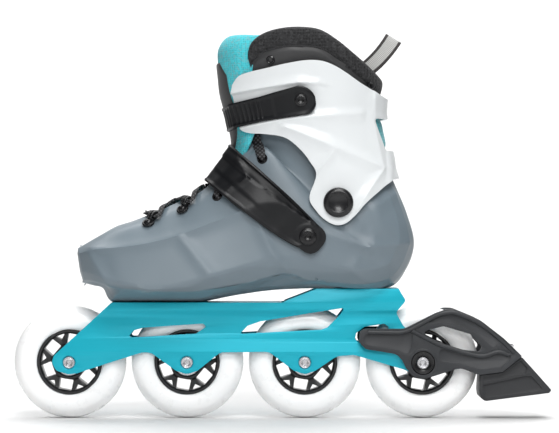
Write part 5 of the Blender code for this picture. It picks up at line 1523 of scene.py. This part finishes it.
def instep_strap(tree, m):
    """The broad strap: a raised rim, a long sunken facet along its upper edge and a fold over the instep."""
    sections = 25
    degrees_round = [-16.6, -16, -15, -13.5, -12] + [k * 1.5 - 10.5 for k in range(128)]
    rows = {}
    for k in range(-19, 18):
        rows[k] = taut_section(tree, STRAP_ORIGIN + STRAP_ACROSS * k, STRAP_ALONG)
    cache = {}

    def spot(key, degree):
        if (key, degree) not in cache:
            here, before, after = (on_hull(rows[key], degree + turn) for turn in (0, -3, 3))
            tangent = (after - before).normalized()
            rise = min(sin(radians(max(degree, 0))), 1.0)
            stiff = 92.6 + 0.05 * key - on_hull(rows[key], 90).y - STRAP_THICK
            lift = 1.0 + (max(stiff, 1.0) - 1.0) * ease((rise - 0.45) / 0.5)
            here += Vector((tangent.y, -tangent.x)) * (STRAP_THICK + lift)
            cache[key, degree] = here
        return cache[key, degree]

    columns, spots = [], []
    for degree in degrees_round:
        rise = min(sin(radians(max(degree, 0))), 1.0)
        low, high = -(11.2 + 7.6 * rise ** 0.7), 12.2 + 4.4 * rise
        if degree < 0:
            end = max(1 - abs(degree / 16.9) ** 3.4, 0.0) ** 0.42
            low, high = low * end, high * end
        if degree > 110:
            narrow = ease((degree - 110) / 38)
            low, high = low + (-11.0 - low) * narrow, high + (11.0 - high) * narrow
        column, places = [], []
        for k in range(sections):
            v = low + (high - low) * k / (sections - 1)
            key = min(max(int(v // 1), -19), 16)
            share = v - key
            here = spot(key, degree).lerp(spot(key + 1, degree), min(max(share, 0), 1))
            column.append(STRAP_ORIGIN + STRAP_ACROSS * v + Vector((0, -here.x, 0)) + STRAP_ALONG * here.y)
            places.append((here.y, v, low, high))
        columns.append(column)
        spots.append((degree, places))

    def relief(i, j):
        degree, places = spots[i]
        a, v, low, high = places[j]
        inset = min(v - low, high - v)
        height = 0.8 * (ease(inset / 0.5) - ease((inset - 1.9) / 0.8))
        if degree < 0:
            height = 0.0
        if degree < 100:
            height += 0.7 * ease((a - 9) / 14)
            line = between([(0.8, 10.8), (65.9, 4.6), (82.4, 13.4)], a)
            if a > 2:
                sunk = ease((v - line) / 0.5) * (1 - ease((v - (high - 2.2)) / 0.5)) * ease((a - 2) / 3)
                sunk *= ease((82.5 - a) / 1.5)
                height -= sunk * (0.9 + 1.5 * min(max((v - line) / max(high - 2 - line, 1), 0), 1))
            fold = a - between([(-19, 74.0), (4.6, 65.9)], v)
            if v < 5:
                height += 1.2 * max(0, 1 - abs(fold) / 3.0) - 0.9 * ease(fold / 2)
            seat = hypot(a, v)
            height += 0.35 * (1 - ease((seat - 9.5) / 1.2)) if seat < 11 else 0
        return height

    strap = strap_body("instep_strap_body", columns, relief, Vector((-5, 0, 150)))
    boolean(strap, turned("way", [(2.9, -80), (2.9, 0)], (STRAP_SCREW_X, 0, STRAP_SCREW_Z), 32))
    finish_piece(bevelled(strap, 0.35, 2, 50), m["strap"], "strap_plastic", "boot", "instep_strap")
    face = min(p.y for column in columns[6:12] for p in column[8:16]) - 0.35
    cap_screw("strap_screw_instep", tuple(STRAP_ORIGIN), face, 6.8, m["gloss_black"], "boot", "instep_strap_screw", 1.7)


def buckle(name, origin, along, normal, strap_half, body, m, slots):
    """A ratchet buckle: two cheeks on a plate, a ribbed lever between them and its pin. It sits so that its
    pin lies exactly where the frame's own does."""
    spots = [v.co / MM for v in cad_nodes[f"{name}_pin"].data.vertices]
    middle = sum(spots, Vector()) / len(spots)
    ahead = [p - middle for p in spots if (p - middle).dot(along.cross(normal)) > 0]
    axis = sum(ahead, Vector()).normalized()
    along = normal.cross(axis).normalized()
    normal = axis.cross(along)
    origin = middle - along * 9.0 - normal * 5.6
    cheek_in, cheek_out = strap_half + 0.9, strap_half + 2.7
    base = box("plate", (15.0, -cheek_out, 0.3), (24.0, cheek_out, 2.6))
    outline = rounded([(-13, 0.3), (18, 0.3), (18, 5.5), (12, 7.8), (4, 7.8), (-13, 3.6)], [1, 0.6, 1.5, 2, 3, 1.5], 4)
    cheeks = [prism("cheek", outline, low, high) for low, high in ((-cheek_out, -cheek_in), (cheek_in, cheek_out))]
    boolean(base, together("cheeks", cheeks), "UNION")
    boolean(base, turned("pin_way", [(1.45, -30), (1.45, 30)], (9.0, 0, 5.6), 24))
    base.name = f"{name}_plate"
    half = cheek_in - 0.5
    outline = [(-17, 4.0), (-15, 3.7), (6.4, 3.7), (9.4, 3.4), (11.4, 4.4), (11.6, 6.4), (10.0, 7.9), (-4, 7.4), (-12, 8.2),
               (-17.5, 7.6)]
    lever = prism("lever", rounded(outline, [1, 0.5, 0.5, 1, 1, 1, 1, 6, 2, 1.5], 5), -half, half)
    grooves = [prism("groove", rounded([(x, 7.3), (x + 1.1, 7.3), (x + 1.3, 9.5), (x - 0.2, 9.5)], 0.3, 2), -half + 2.2, half - 2.2)
               for x in (-15.6, -13.2, -10.8, -8.4)]
    grooves.append(prism("dish", rounded([(-5.5, 7.0), (8, 7.2), (8, 9.5), (-5.5, 9.5)], 0.4, 2), -half + 2.6, half - 2.6))
    boolean(lever, together("grooves", grooves))
    boolean(lever, turned("lever_way", [(1.45, -30), (1.45, 30)], (9.0, 0, 5.6), 24))
    lever.name = f"{name}_handle"
    pin = turned(f"{name}_axle", [(0.9, -cheek_out - 0.1), (1.25, -cheek_out + 0.3), (1.25, cheek_out - 0.3),
                                  (0.9, cheek_out + 0.1)], (9.0, 0, 5.6), 32)
    lever_body = "top_lever" if name.startswith("top") else "instep_lever"
    for obj, material, slot, on, node, edge in (
            (base, m["strap"], "buckle_plastic", body, f"{name}_base", 0.4),
            (lever, m["strap"], "buckle_plastic", lever_body, f"{name}_lever", 0.4),
            (pin, m["steel"], "screw_steel", body, f"{name}_pin", 0)):
        if edge:
            bevelled(obj, edge, 2, 30)
        finish_piece(placed(obj, origin, along, normal), material, slot, on, node)


def buckles(tree, m):
    x = 12.0
    z = top_strap_centre(x)
    here = leg_point(-leg_phi(x, z), z, 0)
    ahead = leg_point(-leg_phi(x + 4, z + 4 * 0.224), z + 4 * 0.224, 0)
    behind = leg_point(-leg_phi(x - 4, z - 4 * 0.224), z - 4 * 0.224, 0)
    along = (ahead - behind).normalized()
    normal = Vector((0, 1, 0))
    normal = (normal - along * normal.dot(along)).normalized()
    buckle("top_buckle", here + normal * 1.2, along, normal, 9.6, "cuff", m, None)
    ray = STRAP_ORIGIN + STRAP_ALONG * 8.0
    hit = tree.ray_cast(ray + Vector((0, 300, 0)), Vector((0, -1, 0)))
    out = hit[1]
    buckle("instep_buckle", hit[0] + out, -(STRAP_ALONG - out * STRAP_ALONG.dot(out)).normalized(), out, 11.2, "boot", m,
           None)


# ---------------------------------------------------------------- stage

def area_light(name, at, look, size, power, colour=(1, 1, 1)):
    data = bpy.data.lights.new(name, "AREA")
    data.shape = "RECTANGLE"
    data.size, data.size_y = size
    data.energy = power
    data.color = colour
    obj = bpy.data.objects.new(name, data)
    obj.location = at
    obj.rotation_euler = (Vector(look) - Vector(at)).to_track_quat("-Z", "Y").to_euler()
    bpy.context.scene.collection.objects.link(obj)


def stage():
    """A pale floor that sweeps up into a backdrop, soft light from above and the front, and the camera."""
    profile = [(-4200, 0), (4200, 0)]
    profile += [(4200 + 800 * sin(radians(a)), 800 - 800 * cos(radians(a))) for a in range(6, 91, 6)] + [(5000, 3600)]
    points, faces = [], []
    for x in (-4000, 4000):
        points += [(x, y, z) for y, z in profile]
    count = len(profile)
    faces = [(k, k + 1, count + k + 1, count + k) for k in range(count - 1)]
    floor = mesh_object("studio_floor", points, faces, 60)
    made, shader = new_material("paper_floor", (0.71, 0.71, 0.71), 0.7)
    link(made, ramp(made, noise_node(made, 5, 3), [(0.3, 0.7), (0.7, 0.72)]), shader.inputs["Base Color"])
    bump(made, shader, [(noise_node(made, 300, 2), 0.02, 0.1)])
    floor.data.materials.append(made)

    world = bpy.data.worlds.new("studio")
    bpy.context.scene.world = world
    world.use_nodes = True
    world.node_tree.nodes["Background"].inputs["Color"].default_value = (1, 1, 1, 1)
    world.node_tree.nodes["Background"].inputs["Strength"].default_value = 0.08
    area_light("key", (0.15, -1.5, 1.85), (0, 0, 0.12), (1.0, 0.6), 30)
    area_light("front", (0.15, -2.6, 1.2), (0, 0, 0.1), (1.0, 0.6), 25)
    area_light("top", (0.2, 0.05, 1.7), (0, 0, 0.15), (1.2, 1.0), 20)
    area_light("backdrop", (0, 3.6, 2.3), (0, 4.7, 0.3), (3.6, 0.8), 76)
    area_light("floor", (0, 1.6, 2.3), (0, 2.3, 0), (3.6, 1.4), 70)
    bpy.context.scene.view_settings.view_transform = "Standard"

    data = bpy.data.cameras.new("camera")
    data.lens, data.sensor_width = 160.3, 36.0
    camera = bpy.data.objects.new("camera", data)
    camera.location = (-0.0016, -2.0, 0.1614)
    camera.rotation_euler = (radians(90), 0, 0)
    bpy.context.scene.collection.objects.link(camera)
    bpy.context.scene.camera = camera


def main():
    m = make_materials()
    m["window_mesh"] = mesh_fabric("heel_mesh", (0.015, 0.2, 0.24), (0.04, 0.36, 0.4), 2.2, 0.6)
    m["insole"] = woven("insole_cloth", (0.02, 0.02, 0.022), (0.05, 0.05, 0.055), 1.4)
    stage()
    for number, x in enumerate(AXLES_X, 1):
        wheel(number, x, m)
    skate_frame(m)
    brake(m)
    tree, plain = shell(m)
    eyelets(tree, m)
    lace_hooks(tree, m)
    laces(tree, m)
    cuff(m)
    liner(m)
    tongue(m)
    pull_loop(m)
    top_strap(m)
    instep_strap(plain, m)
    buckles(plain, m)
    kept = {"bearing_spacer": "spacer", "mount_screw": "steel", "sole_nut": "steel", "brake_pad_screw": "steel"}
    for name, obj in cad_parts.items():
        for start, finish in kept.items():
            if name.startswith(start):
                obj.data.materials.clear()
                obj.data.materials.append(m[finish])


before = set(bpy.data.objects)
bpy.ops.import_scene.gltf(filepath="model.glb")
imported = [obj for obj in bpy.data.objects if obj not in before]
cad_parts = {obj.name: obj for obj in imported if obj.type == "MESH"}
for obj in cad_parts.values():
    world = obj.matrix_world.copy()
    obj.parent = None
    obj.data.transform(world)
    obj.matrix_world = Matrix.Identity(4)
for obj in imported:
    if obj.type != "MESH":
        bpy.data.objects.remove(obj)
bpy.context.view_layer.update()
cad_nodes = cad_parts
main()
